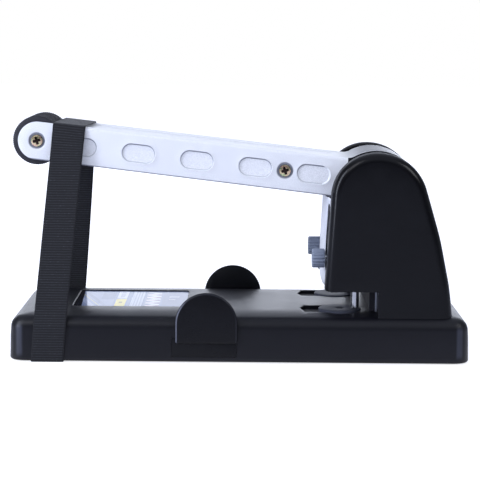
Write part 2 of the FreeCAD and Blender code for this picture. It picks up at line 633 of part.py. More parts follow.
def make_frame(model):
    """Side plates of the punch head, their bolts and the paper stop."""
    foot_top = "base_top + frame_thick"
    outline = [("frame_stop", "base_top"), ("frame_rear", "base_top"),
               ("cover_boss_low_x", "pivot_z - lug_radius"),
               ("pivot_x + shaft_radius * 2.5", "frame_top"),
               ("frame_front + lug_radius", "frame_top"),
               ("frame_front", "panel_bend"), ("frame_front", "throat_top"),
               ("frame_stop", "throat_top")]
    foot_bolts = []
    block_bolts = []
    for name, side in SIDES:
        y = span(side, "frame_inner", FRAME_OUTER)
        plate = model.prism(f"frame_sheet_{name}", "XZ", outline, *y)
        foot = model.block(f"frame_foot_{name}", ("foot_front", "frame_rear"),
                           span(side, FRAME_OUTER, f"{FRAME_OUTER} + foot_reach"),
                           ("base_top", foot_top))
        body = model.fuse(f"frame_body_{name}", [plate, foot])
        through = span(side, "frame_inner - 1", f"{FRAME_OUTER} + 1")
        tools = [model.rod(f"shaft_hole_{name}", "y", ("pivot_x", "pivot_z"), "shaft_radius",
                           *through)]
        for high, x, z in (("high", "cover_boss_high_x", "cover_boss_high_z"),
                           ("low", "cover_boss_low_x", "cover_boss_low_z")):
            tools.append(model.rod(f"cover_hole_{high}_{name}", "y", (x, z), "cover_screw",
                                   *through))
        for end in ("front", "rear"):
            spot = (f"block_bolt_{end}", "throat_top + block_height / 2")
            tools.append(model.rod(f"block_hole_{end}_{name}", "y", spot, "bolt_radius", *through))
            head = model.hexagon(f"block_head_{end}_{name}", "y", spot, "bolt_head",
                                 *span(side, FRAME_OUTER, f"{FRAME_OUTER} + bolt_head_height"))
            shank = model.rod(f"block_shank_{end}_{name}", "y", spot, "bolt_radius",
                              *span(side, "frame_inner - block_bolt_depth", FRAME_OUTER))
            block_bolts.append(model.fuse(f"block_bolt_{end}_{name}", [head, shank]))
            spot = (f"foot_bolt_{end}", at(side, "foot_bolt_offset"))
            tools.append(model.rod(f"foot_hole_{end}_{name}", "z", spot, "bolt_radius",
                                   "base_top - 1", f"{foot_top} + 1"))
            head = model.hexagon(f"foot_head_{end}_{name}", "z", spot, "bolt_head",
                                 foot_top, f"{foot_top} + bolt_head_height")
            shank = model.rod(f"foot_shank_{end}_{name}", "z", spot, "bolt_radius",
                              f"{CAVITY_TOP} - chassis_thick", foot_top)
            nut = model.hexagon(f"foot_nut_{end}_{name}", "z", spot, "bolt_head",
                                f"{CAVITY_TOP} - chassis_thick - bolt_head_height",
                                f"{CAVITY_TOP} - chassis_thick")
            foot_bolts.append(model.fuse(f"foot_bolt_{end}_{name}", [head, shank, nut]))
        model.node(model.cut(f"frame_plate_{name}", body, tools), f"frame_plate_{name}")
    model.node(model.group("block_bolts", block_bolts), "block_bolts")
    model.node(model.group("foot_bolts", foot_bolts), "foot_bolts")
    stop_half = "frame_inner - stop_gap"
    walls = [model.block("stop_wall", ("stop_x", "stop_x + stop_thick"),
                         (f"-({stop_half})", stop_half), ("base_top", "throat_top"))]
    for name, side in SIDES:
        walls.append(model.block(f"stop_tab_{name}",
                                 ("stop_x + stop_thick", "stop_x + stop_thick + stop_tab"),
                                 span(side, f"{stop_half} - stop_thick", stop_half),
                                 ("base_top", "throat_top")))
    model.node(model.fuse("paper_stop", walls), "paper_stop")


def make_punch_guide(model):
    """Guide block between the frame plates, with bushes, rods and return springs."""
    block = model.block("guide_blank", ("block_front", "block_rear"),
                        ("-frame_inner", "frame_inner"), ("throat_top", BLOCK_TOP))
    tools = []
    rods = []
    for name, side in SIDES:
        punch = ("punch_x", at(side, PUNCH_Y))
        post = ("punch_x", at(side, "rod_offset"))
        tools.append(model.rod(f"bush_seat_{name}", "z", punch, "bush_radius",
                               "throat_top - 1", f"{BLOCK_TOP} + 1"))
        tools.append(model.rod(f"rod_seat_{name}", "z", post, "rod_radius",
                               "throat_top - 1", f"{BLOCK_TOP} + 1"))
        for end in ("front", "rear"):
            spot = (f"block_bolt_{end}", "throat_top + block_height / 2")
            tools.append(model.rod(f"block_thread_{end}_{name}", "y", spot, "bolt_radius",
                                   *span(side, "frame_inner - block_bolt_depth",
                                         "frame_inner + 1")))
        bush = model.pipe(f"punch_bush_{name}", "z", punch, "bush_radius",
                          "punch_radius + run_fit", "throat_top - bush_lip",
                          f"{BLOCK_TOP} + bush_lip")
        model.node(bush, f"punch_bush_{name}")
        rods.append(model.rod(f"guide_rod_{name}", "z", post, "rod_radius",
                              "throat_top", "rod_top"))
        spring = model.pipe(f"return_spring_{name}", "z", post, "spring_outer", "spring_inner",
                            f"{BLOCK_TOP} + spring_clear",
                            "carrier_low + spring_pocket - spring_clear")
        model.node(spring, f"return_spring_{name}")
    model.node(model.cut("punch_guide_block", block, tools), "punch_guide_block")
    model.node(model.group("guide_rods", rods), "guide_rods")


def make_carrier(model):
    """Cross bar that carries both punches, and the yoke that the crank drives."""
    bar = model.block("carrier_blank", ("carrier_front", "carrier_rear"),
                      ("-carrier_half", "carrier_half"), ("carrier_low", CARRIER_TOP))
    tools = []
    plates = []
    screws = []
    slot = ("roller_radius + slot_clear")
    foot_top = f"{CARRIER_TOP} + yoke_foot_thick"
    for name, side in SIDES:
        punch = ("punch_x", at(side, PUNCH_Y))
        post = ("punch_x", at(side, "rod_offset"))
        tools.append(model.rod(f"shank_hole_{name}", "z", punch, "punch_radius",
                               "carrier_low - 1", f"{CARRIER_TOP} + 1"))
        tools.append(model.rod(f"rod_hole_{name}", "z", post, "rod_radius + run_fit",
                               "carrier_low - 1", f"{CARRIER_TOP} + 1"))
        tools.append(model.rod(f"spring_hole_{name}", "z", post, "spring_pocket_radius",
                               "carrier_low - 1", "carrier_low + spring_pocket"))
        tools.append(model.rod(f"stud_hole_{name}", "x", (at(side, PUNCH_Y), "knob_z"),
                               "stud_radius + run_fit", "carrier_front - 1", "punch_x"))
        tube = model.pipe(f"punch_tube_{name}", "z", punch, "punch_radius", "punch_bore",
                          f"{DISC_TOP} + punch_gap", f"{CARRIER_TOP} + punch_head")
        model.node(tube, f"punch_tube_{name}")
        wall = model.block(f"yoke_wall_{name}", ("yoke_front", "yoke_rear"),
                           span(side, "yoke_inner", "yoke_inner + yoke_thick"),
                           (CARRIER_TOP, f"{PIN_Z} + {slot} + yoke_wall"))
        foot = model.block(f"yoke_foot_{name}", ("carrier_front", "yoke_rear"),
                           span(side, "yoke_inner + yoke_thick",
                                "yoke_inner + yoke_thick + yoke_foot"),
                           (CARRIER_TOP, foot_top))
        yoke = model.fuse(f"yoke_body_{name}", [wall, foot])
        through = span(side, "yoke_inner - 1", "yoke_inner + yoke_thick + 1")
        openings = [
            model.rod(f"slot_front_{name}", "y", (PIN_FRONT, PIN_Z), slot, *through),
            model.rod(f"slot_rear_{name}", "y", (PIN_X, PIN_Z), slot, *through),
            model.block(f"slot_middle_{name}", (PIN_FRONT, PIN_X), through,
                        (f"{PIN_Z} - ({slot})", f"{PIN_Z} + {slot}")),
        ]
        for end, x in (("front", "carrier_front + yoke_screw_head"),
                       ("rear", "yoke_rear - yoke_screw_head")):
            spot = (x, at(side, "yoke_inner + yoke_thick + yoke_foot / 2"))
            deep = f"{CARRIER_TOP} - carrier_height / 4"
            openings.append(model.rod(f"yoke_hole_{end}_{name}", "z", spot, "yoke_screw",
                                      f"{CARRIER_TOP} - 1", f"{foot_top} + 1"))
            tools.append(model.rod(f"yoke_thread_{end}_{name}", "z", spot, "yoke_screw",
                                   deep, f"{CARRIER_TOP} + 1"))
            head = model.rod(f"yoke_head_{end}_{name}", "z", spot, "yoke_screw_head",
                             foot_top, f"{foot_top} + yoke_screw")
            shank = model.rod(f"yoke_shank_{end}_{name}", "z", spot, "yoke_screw",
                              deep, foot_top)
            screws.append(model.fuse(f"yoke_screw_{end}_{name}", [head, shank]))
        plates.append(model.cut(f"yoke_plate_{name}", yoke, openings))
    model.node(model.cut("punch_carrier", bar, tools), "punch_carrier")
    model.node(model.group("yoke_plates", plates), "yoke_plates")
    model.node(model.group("yoke_screws", screws), "yoke_screws")


def make_knobs(model):
    """Ribbed clamping knobs on threaded studs."""
    count = round(model.value("knob_grooves"))
    for name, side in SIDES:
        spot = (at(side, PUNCH_Y), "knob_z")
        blank = model.rod(f"knob_blank_{name}", "x", spot, "knob_radius", "knob_x", "knob_back")
        tools = [model.rod(f"knob_bore_{name}", "x", spot, "stud_radius",
                           "knob_back - stud_collar", "knob_back + 1")]
        for index in range(count):
            angle = 360.0 * index / count
            groove = (f"{spot[0]} + knob_radius * cos({angle})",
                      f"{spot[1]} + knob_radius * sin({angle})")
            tools.append(model.rod(f"knob_groove_{index}_{name}", "x", groove, "knob_groove",
                                   "knob_x - 1", "knob_back + 1"))
        model.node(model.cut(f"knob_{name}", blank, tools), f"knob_{name}")
        stud = model.rod(f"knob_stud_{name}", "x", spot, "stud_radius",
                         "knob_back - stud_collar", STUD_TIP)
        model.node(stud, f"knob_stud_{name}")


def make_panels(model):
    """Slotted front panel and the rear panel between the side covers."""
    back = "panel_front + panel_thick"
    outline = [("panel_front + panel_lean", "panel_top"), ("panel_front", "panel_bend"),
               ("panel_front", "lip_top"), ("panel_front + lip_back", "lip_bottom"),
               (f"{back} + lip_back", "lip_bottom"), (back, "lip_top"),
               (back, "panel_bend"), (f"{back} + panel_lean", "panel_top")]
    sheets = [model.prism("front_sheet", "XZ", outline, "-panel_half", "panel_half")]
    slots = []
    for name, side in SIDES:
        sheets.append(model.block(f"front_return_{name}", (back, f"{back} + panel_return"),
                                  span(side, "panel_half - panel_thick", "panel_half"),
                                  (f"{BLOCK_TOP} + bush_lip", "knob_slot_high")))
        y = span(side, f"{PUNCH_Y} - knob_slot / 2", f"{PUNCH_Y} + knob_slot / 2")
        slots.append(model.block(f"knob_slot_{name}",
                                 ("panel_front - 1", f"{back} + panel_lean + 1"), y,
                                 ("knob_slot_low", "knob_slot_high")))
    sheet = model.fuse("front_folded", sheets)
    model.node(model.cut("front_panel", sheet, slots), "front_panel")
    rear_line = [("cover_back_mid_x - (cover_back_mid_x - cover_back_high_x) * "
                  "(rear_top - cover_back_mid_z) / (cover_top - cover_back_mid_z)", "rear_top"),
                 ("cover_back_mid_x", "cover_back_mid_z"),
                 ("cover_back_low_x", "cover_back_low_z"),
                 ("cover_back_x", "base_top + stop_gap")]
    outer = [(f"{x} - rear_inset", z) for x, z in rear_line]
    inner = [(f"{x} - rear_inset - panel_thick", z) for x, z in reversed(rear_line)]
    rear = model.prism("rear_sheet", "XZ", outer + inner, "-panel_half", "panel_half")
    sheets = [rear]
    for name, side in SIDES:
        y = span(side, "panel_half - panel_thick", "panel_half")
        fold = [("cover_boss_low_x + cover_rim", "cover_back_low_z"),
                ("cover_back_low_x - rear_inset - panel_thick / 2", "cover_back_low_z"),
                ("cover_back_mid_x - rear_inset - panel_thick / 2", "cover_back_mid_z"),
                ("cover_boss_low_x + cover_rim", "cover_back_mid_z")]
        sheets.append(model.prism(f"rear_return_{name}", "XZ", fold, *y))
    model.node(model.fuse("rear_panel", sheets), "rear_panel")


def cover_outline(wall, low):
    """Outline of a side cover, or of the hollow inside its wall."""
    lean = f"({wall}) * 1.04"
    return [(f"cover_front + {wall}", f"cover_low + {wall}"),
            (f"cover_leg + {wall}", f"cover_low + {wall}"),
            (f"cover_leg + {wall}", low),
            (f"cover_back_x - {lean}", low),
            (f"cover_back_low_x - {lean}", "cover_back_low_z"),
            (f"cover_back_mid_x - {lean}", "cover_back_mid_z"),
            (f"cover_back_high_x - {wall}", f"cover_top - {wall}",
             f"cover_arch_rear - {wall}"),
            (f"cover_front + cover_lean + {wall}", f"cover_top - {wall}",
             f"cover_arch - {wall}")]


def make_covers(model):
    """Hollow side covers of the punch head, with their screws."""
    screws = []
    leg = model.value("cover_leg")
    low = model.value("cover_low + cover_wall")

    def on_rim(box):
        """True for rim edges that are not part of the throat's cut-out."""
        below = box.ZMax < low + 0.01
        return not below or box.XMin > leg + cover_margin

    cover_margin = model.value("cover_wall") + 1
    for name, side in SIDES:
        body = model.prism(f"cover_blank_{name}", "XZ",
                           cover_outline("0", "base_top + cover_gap"),
                           *span(side, "cover_inner", "cover_outer"))
        model.round_rim(body, "y", at(side, "cover_outer"), "cover_rim", on_rim)
        inside = model.prism(f"cover_inside_{name}", "XZ",
                             cover_outline("cover_wall", "base_top - 1"),
                             *span(side, "cover_inner - 1", "cover_outer - cover_wall"))
        model.round_rim(inside, "y", at(side, "cover_outer - cover_wall"),
                        "cover_rim - cover_wall", on_rim)
        shell = model.cut(f"cover_shell_{name}", body, [inside])
        bosses = []
        holes = []
        for high in ("high", "low"):
            spot = (f"cover_boss_{high}_x", f"cover_boss_{high}_z")
            bosses.append(model.rod(f"cover_boss_{high}_{name}", "y", spot, "cover_boss",
                                    *span(side, FRAME_OUTER, "cover_outer - cover_wall / 2")))
            grip = span(side, f"{FRAME_OUTER} - 1", f"{FRAME_OUTER} + cover_screw_grip")
            holes.append(model.rod(f"cover_thread_{high}_{name}", "y", spot, "cover_screw",
                                   *grip))
            head = model.rod(f"cover_head_{high}_{name}", "y", spot, "cover_screw_head",
                             *span(side, "frame_inner - cover_screw", "frame_inner"))
            shank = model.rod(f"cover_shank_{high}_{name}", "y", spot, "cover_screw",
                              *span(side, "frame_inner", f"{FRAME_OUTER} + cover_screw_grip"))
            screws.append(model.fuse(f"cover_screw_{high}_{name}", [head, shank]))
        holes.append(model.block(f"frame_rebate_{name}",
                                 ("frame_front - cover_gap", "frame_rear + cover_gap"),
                                 span(side, "cover_inner - 1", f"{FRAME_OUTER} + stop_gap"),
                                 ("base_top - 1", "throat_top + cover_wall")))
        cover = model.fuse(f"cover_body_{name}", [shell] + bosses)
        model.node(model.cut(f"side_cover_{name}", cover, holes), f"side_cover_{name}")
    model.node(model.group("cover_screws", screws), "cover_screws")


def make_fulcrum(model):
    """Shaft that the handle turns on, its clips and spacers."""
    spot = ("pivot_x", "pivot_z")
    shaft = model.rod("fulcrum_blank", "y", spot, "shaft_radius", "-shaft_half", "shaft_half")
    grooves = []
    clips = []
    spacers = []
    for name, side in SIDES:
        y = span(side, FRAME_OUTER, f"{FRAME_OUTER} + clip_thick")
        grooves.append(model.pipe(f"clip_groove_{name}", "y", spot, "shaft_radius + 1",
                                  "shaft_radius - clip_thick / 2", *y))
        clips.append(model.pipe(f"shaft_clip_{name}", "y", spot, "clip_radius",
                                "shaft_radius - clip_thick / 2", *y))
        spacers.append(model.pipe(f"shaft_spacer_{name}", "y", spot, "side_spacer",
                                  "shaft_radius",
                                  *span(side, "channel_half + side_clear", "frame_inner")))
    model.node(model.cut("fulcrum_shaft", shaft, grooves), "fulcrum_shaft")
    model.node(model.group("shaft_clips", clips), "shaft_clips")
    model.node(model.group("shaft_spacers", spacers), "shaft_spacers")


def make_handle_channel(model):
    """Pressed handle channel with its hood, drawn along the handle from the pivot."""
    left = "-grip_reach - channel_up"
    start = "web_start - grip_reach"
    round_end = "channel_up - 0.1"
    outline = [(left, f"{CHANNEL_TOP}", round_end), (left, "grip_rise - channel_up", round_end),
               ("-grip_reach + channel_up", "grip_rise - channel_up"),
               ("0", CHANNEL_LOW), ("0", CHANNEL_TOP)]
    blank = model.prism("channel_blank", "XZ", outline, "-channel_half", "channel_half")
    hood = model.rod("hood_blank", "y", ("0", "0"), "hood_radius", "-channel_half",
                     "channel_half")
    skirt = model.block("hood_skirt", ("-hood_radius - 1", "hood_radius + 1"),
                        ("-channel_half - 1", "channel_half + 1"),
                        ("-hood_radius - 1", CHANNEL_LOW))
    hood = model.cut("hood_trimmed", hood, [skirt])
    lug = model.rod("lug_blank", "y", ("0", "0"), "lug_radius", "-channel_half", "channel_half")
    outside = model.fuse("channel_outside", [blank, hood, lug])
    under = "grip_rise + channel_up - trough_depth - channel_wall"
    inner_y = (f"-({CHANNEL_IN})", CHANNEL_IN)
    tools = [
        model.block("channel_inside", (f"{left} - 1", "0"), inner_y,
                    (f"{CHANNEL_LOW} - lug_radius", under)),
        model.rod("hood_inside", "y", ("0", "0"), "hood_radius - channel_wall", *inner_y),
        model.block("web_gap", (f"{left} - 1", start), inner_y,
                    ("0", f"{CHANNEL_TOP} + 1")),
        model.block("trough", (start, "-hood_radius + channel_wall * 4"),
                    ("-(channel_half - trough_edge)", "channel_half - trough_edge"),
                    (f"{CHANNEL_TOP} - trough_depth", f"{CHANNEL_TOP} + 1")),
        model.rod("shaft_gap", "y", ("0", "0"), "shaft_radius + lug_clear",
                  "-channel_half - 1", "channel_half + 1"),
    ]
    dimples = [("grip", "-grip_reach", "grip_rise"),
               ("lever", "-lever_screw_reach", "lever_screw_rise")]
    pads = []
    for name, side in SIDES:
        for kind, x, z in dimples:
            tools.append(model.rod(f"dimple_{kind}_{name}", "y", (x, z), "dimple_radius",
                                   *span(side, DIMPLE_FLOOR, "channel_half + 1")))
            tools.append(model.rod(f"screw_gap_{kind}_{name}", "y", (x, z), "screw_radius",
                                   *span(side, f"{CHANNEL_IN} - 1", "channel_half + 1")))
        for index in range(round(model.value("emboss_count"))):
            middle = f"-grip_reach + emboss_first + {index} * emboss_pitch"
            z = "grip_rise - emboss_drop"
            y = span(side, "channel_half - emboss_depth", "channel_half + 1")
            flat = "(emboss_length - emboss_height) / 2"
            pads += [
                model.block(f"emboss_{index}_{name}", (f"{middle} - {flat}", f"{middle} + {flat}"),
                            y, (f"{z} - emboss_height / 2", f"{z} + emboss_height / 2")),
                model.rod(f"emboss_left_{index}_{name}", "y", (f"{middle} - {flat}", z),
                          "emboss_height / 2", *y),
                model.rod(f"emboss_right_{index}_{name}", "y", (f"{middle} + {flat}", z),
                          "emboss_height / 2", *y),
            ]
    channel = model.cut("handle_channel", outside, tools + pads)
    model.node(model.tilt(channel), "handle_channel")


def make_levers(model):
    """Lever arms in the handle with crank pin, rollers, bushes, spacer and screws."""
    pivot = ("0", "0")
    pin = (LOCAL_PIN_X, LOCAL_PIN_Z)
    front = ("-lever_screw_reach", "lever_screw_rise")
    reach = "sqrt(lever_screw_reach ^ 2 + lever_screw_rise ^ 2)"
    bushes = []
    rollers = []
    for name, side in SIDES:
        y = span(side, "lever_inner", LEVER_OUTER)
        past = span(side, "lever_inner - 1", f"{LEVER_OUTER} + 1")
        beam = model.prism(f"lever_beam_{name}", "XZ",
                           [(f"-{reach}", "-lever_end"), ("0", "-lever_hub"),
                            ("0", "lever_hub"), (f"-{reach}", "lever_end")], *y)
        slant = "atan2(lever_screw_rise; lever_screw_reach)"
        turn = FreeCAD.Rotation(FreeCAD.Vector(0, 1, 0), model.value(slant))
        beam.Placement = FreeCAD.Placement(FreeCAD.Vector(), turn)
        beam.setExpression("Placement.Rotation.Angle", model.bound(slant))
        toe = model.prism(f"lever_neck_{name}", "XZ",
                          [("-lever_toe", "0"), ("-lever_toe", "-crank_radius"),
                           ("lever_toe", "-crank_radius"), ("lever_toe", "0")], *y)
        lean = "90 - crank_drop - handle_slope"
        turn = FreeCAD.Rotation(FreeCAD.Vector(0, 1, 0), model.value(lean))
        toe.Placement = FreeCAD.Placement(FreeCAD.Vector(), turn)
        toe.setExpression("Placement.Rotation.Angle", model.bound(lean))
        body = model.fuse(f"lever_body_{name}", [
            beam, toe,
            model.rod(f"lever_hub_{name}", "y", pivot, "lever_hub", *y),
            model.rod(f"lever_front_{name}", "y", front, "lever_end", *y),
            model.rod(f"lever_toe_{name}", "y", pin, "lever_toe", *y),
        ])
        holes = [
            model.rod(f"hub_hole_{name}", "y", pivot, "shaft_radius + bush_wall", *past),
            model.rod(f"front_hole_{name}", "y", front, "spacer_radius", *past),
            model.rod(f"toe_hole_{name}", "y", pin, "crank_pin_radius", *past),
        ]
        arm = model.tilt(model.cut(f"lever_arm_{name}", body, holes))
        model.node(arm, f"lever_arm_{name}")
        bushes.append(model.pipe(f"lever_bush_{name}", "y", pivot, "shaft_radius + bush_wall",
                                 "shaft_radius + run_fit",
                                 *span(side, "lever_inner - bush_wall",
                                       f"{CHANNEL_IN} - bush_wall / 4")))
        rollers.append(model.pipe(f"crank_roller_{name}", "y", pin, "roller_radius",
                                  "crank_pin_radius",
                                  *span(side, "yoke_inner - roller_side",
                                        "yoke_inner + yoke_thick + roller_side")))
    model.node(model.tilt(model.group("lever_bushes", bushes)), "lever_bushes")
    model.node(model.tilt(model.group("crank_rollers", rollers)), "crank_rollers")
    bar = model.rod("crank_bar", "y", pin, "crank_pin_radius", f"-({LEVER_OUTER} + 1)",
                    f"{LEVER_OUTER} + 1")
    model.node(tilt_rod(model, bar, pin, f"-({LEVER_OUTER} + 1)"), "crank_pin")
    tube = model.pipe("spacer_tube", "y", front, "spacer_radius", "screw_radius",
                      f"-({CHANNEL_IN})", CHANNEL_IN)
    model.node(model.tilt(tube), "spacer_tube")
    screws = [make_screw(model, f"lever_screw_{name}", side, front) for name, side in SIDES]
    model.node(model.tilt(model.group("handle_screws", screws)), "handle_screws")


def tilt_rod(model, rod, centre, low):
    """Carry a single rod along the handle: a group of one takes the handle's place."""
    whole = model.group(rod.Name + "_set", [rod])
    return model.tilt(whole)


def make_screw(model, name, side, centre):
    """A pan-headed screw through one flange, with a crossed recess in its head."""
    top = f"{DIMPLE_FLOOR} + screw_head_height"
    head = model.rod(f"{name}_head", "y", centre, "screw_head", *span(side, DIMPLE_FLOOR, top))
    shank = model.rod(f"{name}_shank", "y", centre, "screw_radius",
                      *span(side, f"{DIMPLE_FLOOR} - screw_grip", DIMPLE_FLOOR))
    deep = span(side, f"{top} - screw_head_height / 2", f"{top} + 1")
    bars = []
    for kind, long_x, long_z in (("flat", "screw_head / 2", "screw_head / 10"),
                                 ("tall", "screw_head / 10", "screw_head / 2")):
        bars.append(model.block(f"{name}_{kind}",
                                (f"{centre[0]} - {long_x}", f"{centre[0]} + {long_x}"), deep,
                                (f"{centre[1]} - {long_z}", f"{centre[1]} + {long_z}")))
    return model.cut(name, model.fuse(f"{name}_body", [head, shank]), bars)


def make_grip(model):
    """Rolling grip on its axle between the ends of the flanges."""
    spot = ("-grip_reach", "grip_rise")
    half = (f"-({GRIP_HALF})", GRIP_HALF)
    axle = model.rod("axle_blank", "y", spot, "axle_radius", f"-({CHANNEL_IN})", CHANNEL_IN)
    threads = [model.rod(f"axle_thread_{name}", "y", spot, "screw_radius",
                         *span(side, f"{DIMPLE_FLOOR} - screw_grip", "channel_half"))
               for name, side in SIDES]
    model.node(model.tilt(model.cut("grip_axle", axle, threads)), "grip_axle")
    screws = [make_screw(model, f"grip_screw_{name}", side, spot) for name, side in SIDES]
    model.node(model.tilt(model.group("grip_screws", screws)), "grip_screws")
    core = model.pipe("grip_core", "y", spot, "core_radius", "axle_radius + run_fit", *half)
    model.node(model.tilt(core), "grip_core")
    sleeve = model.pipe("grip_sleeve", "y", spot, "grip_radius", "core_radius", *half)
    model.node(model.tilt(sleeve), "grip_sleeve")


def involute_points(model):
    """Half angles of a pinion tooth against radius, from its root to its tip."""
    pitch = model.value(PITCH_RADIUS)
    module = model.value("gear_module")
    pressure = math.radians(20)
    base = pitch * math.cos(pressure)
    root = pitch - 0.95 * module
    tip = pitch + 0.8 * module
    half = (math.pi * module / 4 - model.value("gear_back")) / pitch
    half += math.tan(pressure) - pressure
    steps = 5
    points = [(root, half)]
    for index in range(steps):
        radius = base + (tip - base) * index / (steps - 1)
        roll = math.acos(base / radius)
        points.append((radius, half - (math.tan(roll) - roll)))
    return points


def make_pinion(model):
    """Pinion between the two racks, with a tooth along +X and one along -X."""
    teeth = round(model.value("gear_teeth"))
    flank = involute_points(model)
    low = model.value("gear_low")
    corners = []
    for tooth in range(teeth):
        middle = 2 * math.pi * tooth / teeth
        for radius, half in flank:
            corners.append((radius, middle - half))
        for radius, half in reversed(flank):
            corners.append((radius, middle + half))
    points = [FreeCAD.Vector(radius * math.cos(turn), radius * math.sin(turn), low)
              for radius, turn in corners]
    face = Part.Face(Part.makePolygon(points + points[:1]))
    wheel = face.extrude(FreeCAD.Vector(0, 0, model.value("gear_height")))
    bore = Part.makeCylinder(model.value("pin_radius + run_fit"),
                             model.value("gear_height"), FreeCAD.Vector(0, 0, low))
    pinion = model.shape("pinion", wheel.cut(bore))
    pinion.setExpression("Placement.Base.x", model.bound("pinion_x"))
    model.node(pinion, "guide_pinion")
    rail_top = "gear_low - rail_gap"
    pin = model.rod("pin_post", "z", ("pinion_x", "0"), "pin_radius", rail_top, GEAR_TOP)
    head = model.rod("pin_cap", "z", ("pinion_x", "0"), "pin_head",
                     f"{GEAR_TOP} + rail_gap", f"{GEAR_TOP} + rail_gap + pin_radius")
    neck = model.rod("pin_neck", "z", ("pinion_x", "0"), "pin_radius", GEAR_TOP,
                     f"{GEAR_TOP} + rail_gap")
    model.node(model.fuse("pinion_pin", [pin, neck, head]), "pinion_pin")


def make_rack(model, name, side):
    """Toothed rack of one paper guide; the far rack is the near one turned about the pinion."""
    module = model.value("gear_module")
    pitch = math.pi * module
    slope = math.tan(math.radians(20))
    half = pitch / 4 - model.value("gear_back")
    tip = 0.7 * module
    root = -1.0 * module
    line = model.value(f"pinion_x - {PITCH_RADIUS}")
    back = line + root - model.value("rack_body")
    start = -model.value(f"{BASE_Y} + guide_gap - slide_depth")
    end = model.value(f"{BASE_Y} - rack_room")
    corners = [(back, start), (line + root, start)]
    for index in range(round(model.value("rack_teeth"))):
        middle = pitch * (index - 1.5)
        foot = half - root * slope
        crest = half - tip * slope
        corners += [(line + root, middle - foot), (line + tip, middle - crest),
                    (line + tip, middle + crest), (line + root, middle + foot)]
    corners += [(line + root, end), (back, end)]
    low = model.value("gear_low")
    points = [FreeCAD.Vector(x, y, low) for x, y in corners]
    face = Part.Face(Part.makePolygon(points + points[:1]))
    solid = face.extrude(FreeCAD.Vector(0, 0, model.value("gear_height")))
    rack = model.shape(f"rack_{name}", solid)
    if side == FAR:
        turn = FreeCAD.Rotation(FreeCAD.Vector(0, 0, 1), 180)
        rack.Placement = FreeCAD.Placement(FreeCAD.Vector(), turn)
        rack.setExpression("Placement.Base.x", model.bound("2 * pinion_x"))
    model.node(rack, f"guide_rack_{name}")


def make_guides(model):
    """Sliding paper guides, their racks and the rail that carries the racks."""
    for name, side in SIDES:
        middle = guide_mirror(side, "guide_x")
        tab_y = span(side, GUIDE_FACE, f"{GUIDE_FACE} + guide_thick")
        centre_z = "guide_top - guide_radius"
        top = model.rod(f"guide_arch_{name}", "y", (middle, centre_z), "guide_radius", *tab_y)
        leg = model.block(f"guide_leg_{name}",
                          (f"{middle} - guide_radius", f"{middle} + guide_radius"), tab_y,
                          ("guide_low", centre_z))
        lower = model.block(f"guide_trim_{name}",
                            (f"{middle} - guide_radius - 1", f"{middle} + guide_radius + 1"),
                            span(side, f"{GUIDE_FACE} - 1", f"{GUIDE_FACE} + guide_thick + 1"),
                            (f"{centre_z} - guide_radius - 1", centre_z))
        arch = model.cut(f"guide_round_{name}", top, [lower])
        low, high = ordered(side, "slide_x - slide_half", "slide_x + slide_half")
        slide = model.block(f"guide_slide_{name}", (low, high),
                            span(side, f"{GUIDE_FACE} - slide_depth", GUIDE_FACE),
                            ("slide_low", "slide_high"))
        model.node(model.fuse(f"paper_guide_{name}", [arch, leg, slide]), f"paper_guide_{name}")
        make_rack(model, name, side)
    reach = f"{PITCH_RADIUS} + gear_module + rack_body + rail_gap"
    rail_top = "gear_low - rail_gap"
    pieces = [model.block("rail_floor",
                          (f"pinion_x - ({reach}) - rail_margin",
                           f"pinion_x + {reach} + rail_margin"),
                          (f"-({RAIL_END})", RAIL_END), (BOTTOM_TOP, rail_top))]
    pieces.append(model.block("rail_lip_left",
                              (f"pinion_x - ({reach}) - rail_margin", f"pinion_x - ({reach})"),
                              (f"-({RAIL_END})", RAIL_END), (rail_top, GEAR_TOP)))
    pieces.append(model.block("rail_lip_right",
                              (f"pinion_x + {reach}", f"pinion_x + {reach} + rail_margin"),
                              (f"-({RAIL_END})", RAIL_END), (rail_top, GEAR_TOP)))
    model.node(model.fuse("rack_rail", pieces), "rack_rail")


def strap_ring(model, x_floor, outset):
    """Closed line of one edge of the strap round base and handle."""
    slope = math.tan(math.radians(model.value("handle_slope")))
    left = model.value(STRAP_LEFT)
    side_y = model.value(f"{BASE_Y} + strap_clear") + outset
    bottom = model.value("base_gap - strap_under") - outset
    shoulder = model.value("base_top - base_edge * 7 / 8")
    top_y = model.value("channel_half + strap_clear") + outset
    turn = math.radians(model.value("handle_slope"))
    rise = model.value(f"{CHANNEL_TOP} + strap_clear") + outset
    pivot = (model.value("pivot_x"), model.value("pivot_z"))
    top_left = model.value(f"{GRIP_X} + strap_ahead")
    top_rise = model.value(f"{CHANNEL_TOP} + strap_clear + strap_thick")
    lean = (top_left - left) / (pivot[1] + top_rise / math.cos(turn)
                                + (pivot[0] - top_left) * slope)
    x = top_left + x_floor - left
    crown_z = pivot[1] + rise / math.cos(turn) + (pivot[0] - x) * slope
    stations = [(-side_y, bottom), (-side_y, shoulder), (-top_y, crown_z),
                (top_y, crown_z), (side_y, shoulder), (side_y, bottom)]
    return [FreeCAD.Vector(x_floor + lean * z, y, z) for y, z in stations]


def make_strap(model):
    """Elastic strap looped round the base and the lowered handle."""
    left = model.value(STRAP_LEFT)
    right = left + model.value("strap_width")
    thick = model.value("strap_thick")
    loops = []
    for outset in (thick, 0.0):
        wires = []
        for x_floor in (left, right):
            ring = strap_ring(model, x_floor, outset)
            wires.append(Part.makePolygon(ring + ring[:1]))
        loops.append(Part.makeLoft(wires, True, True))
    model.node(model.shape("strap", loops[0].cut(loops[1])), "elastic_strap")


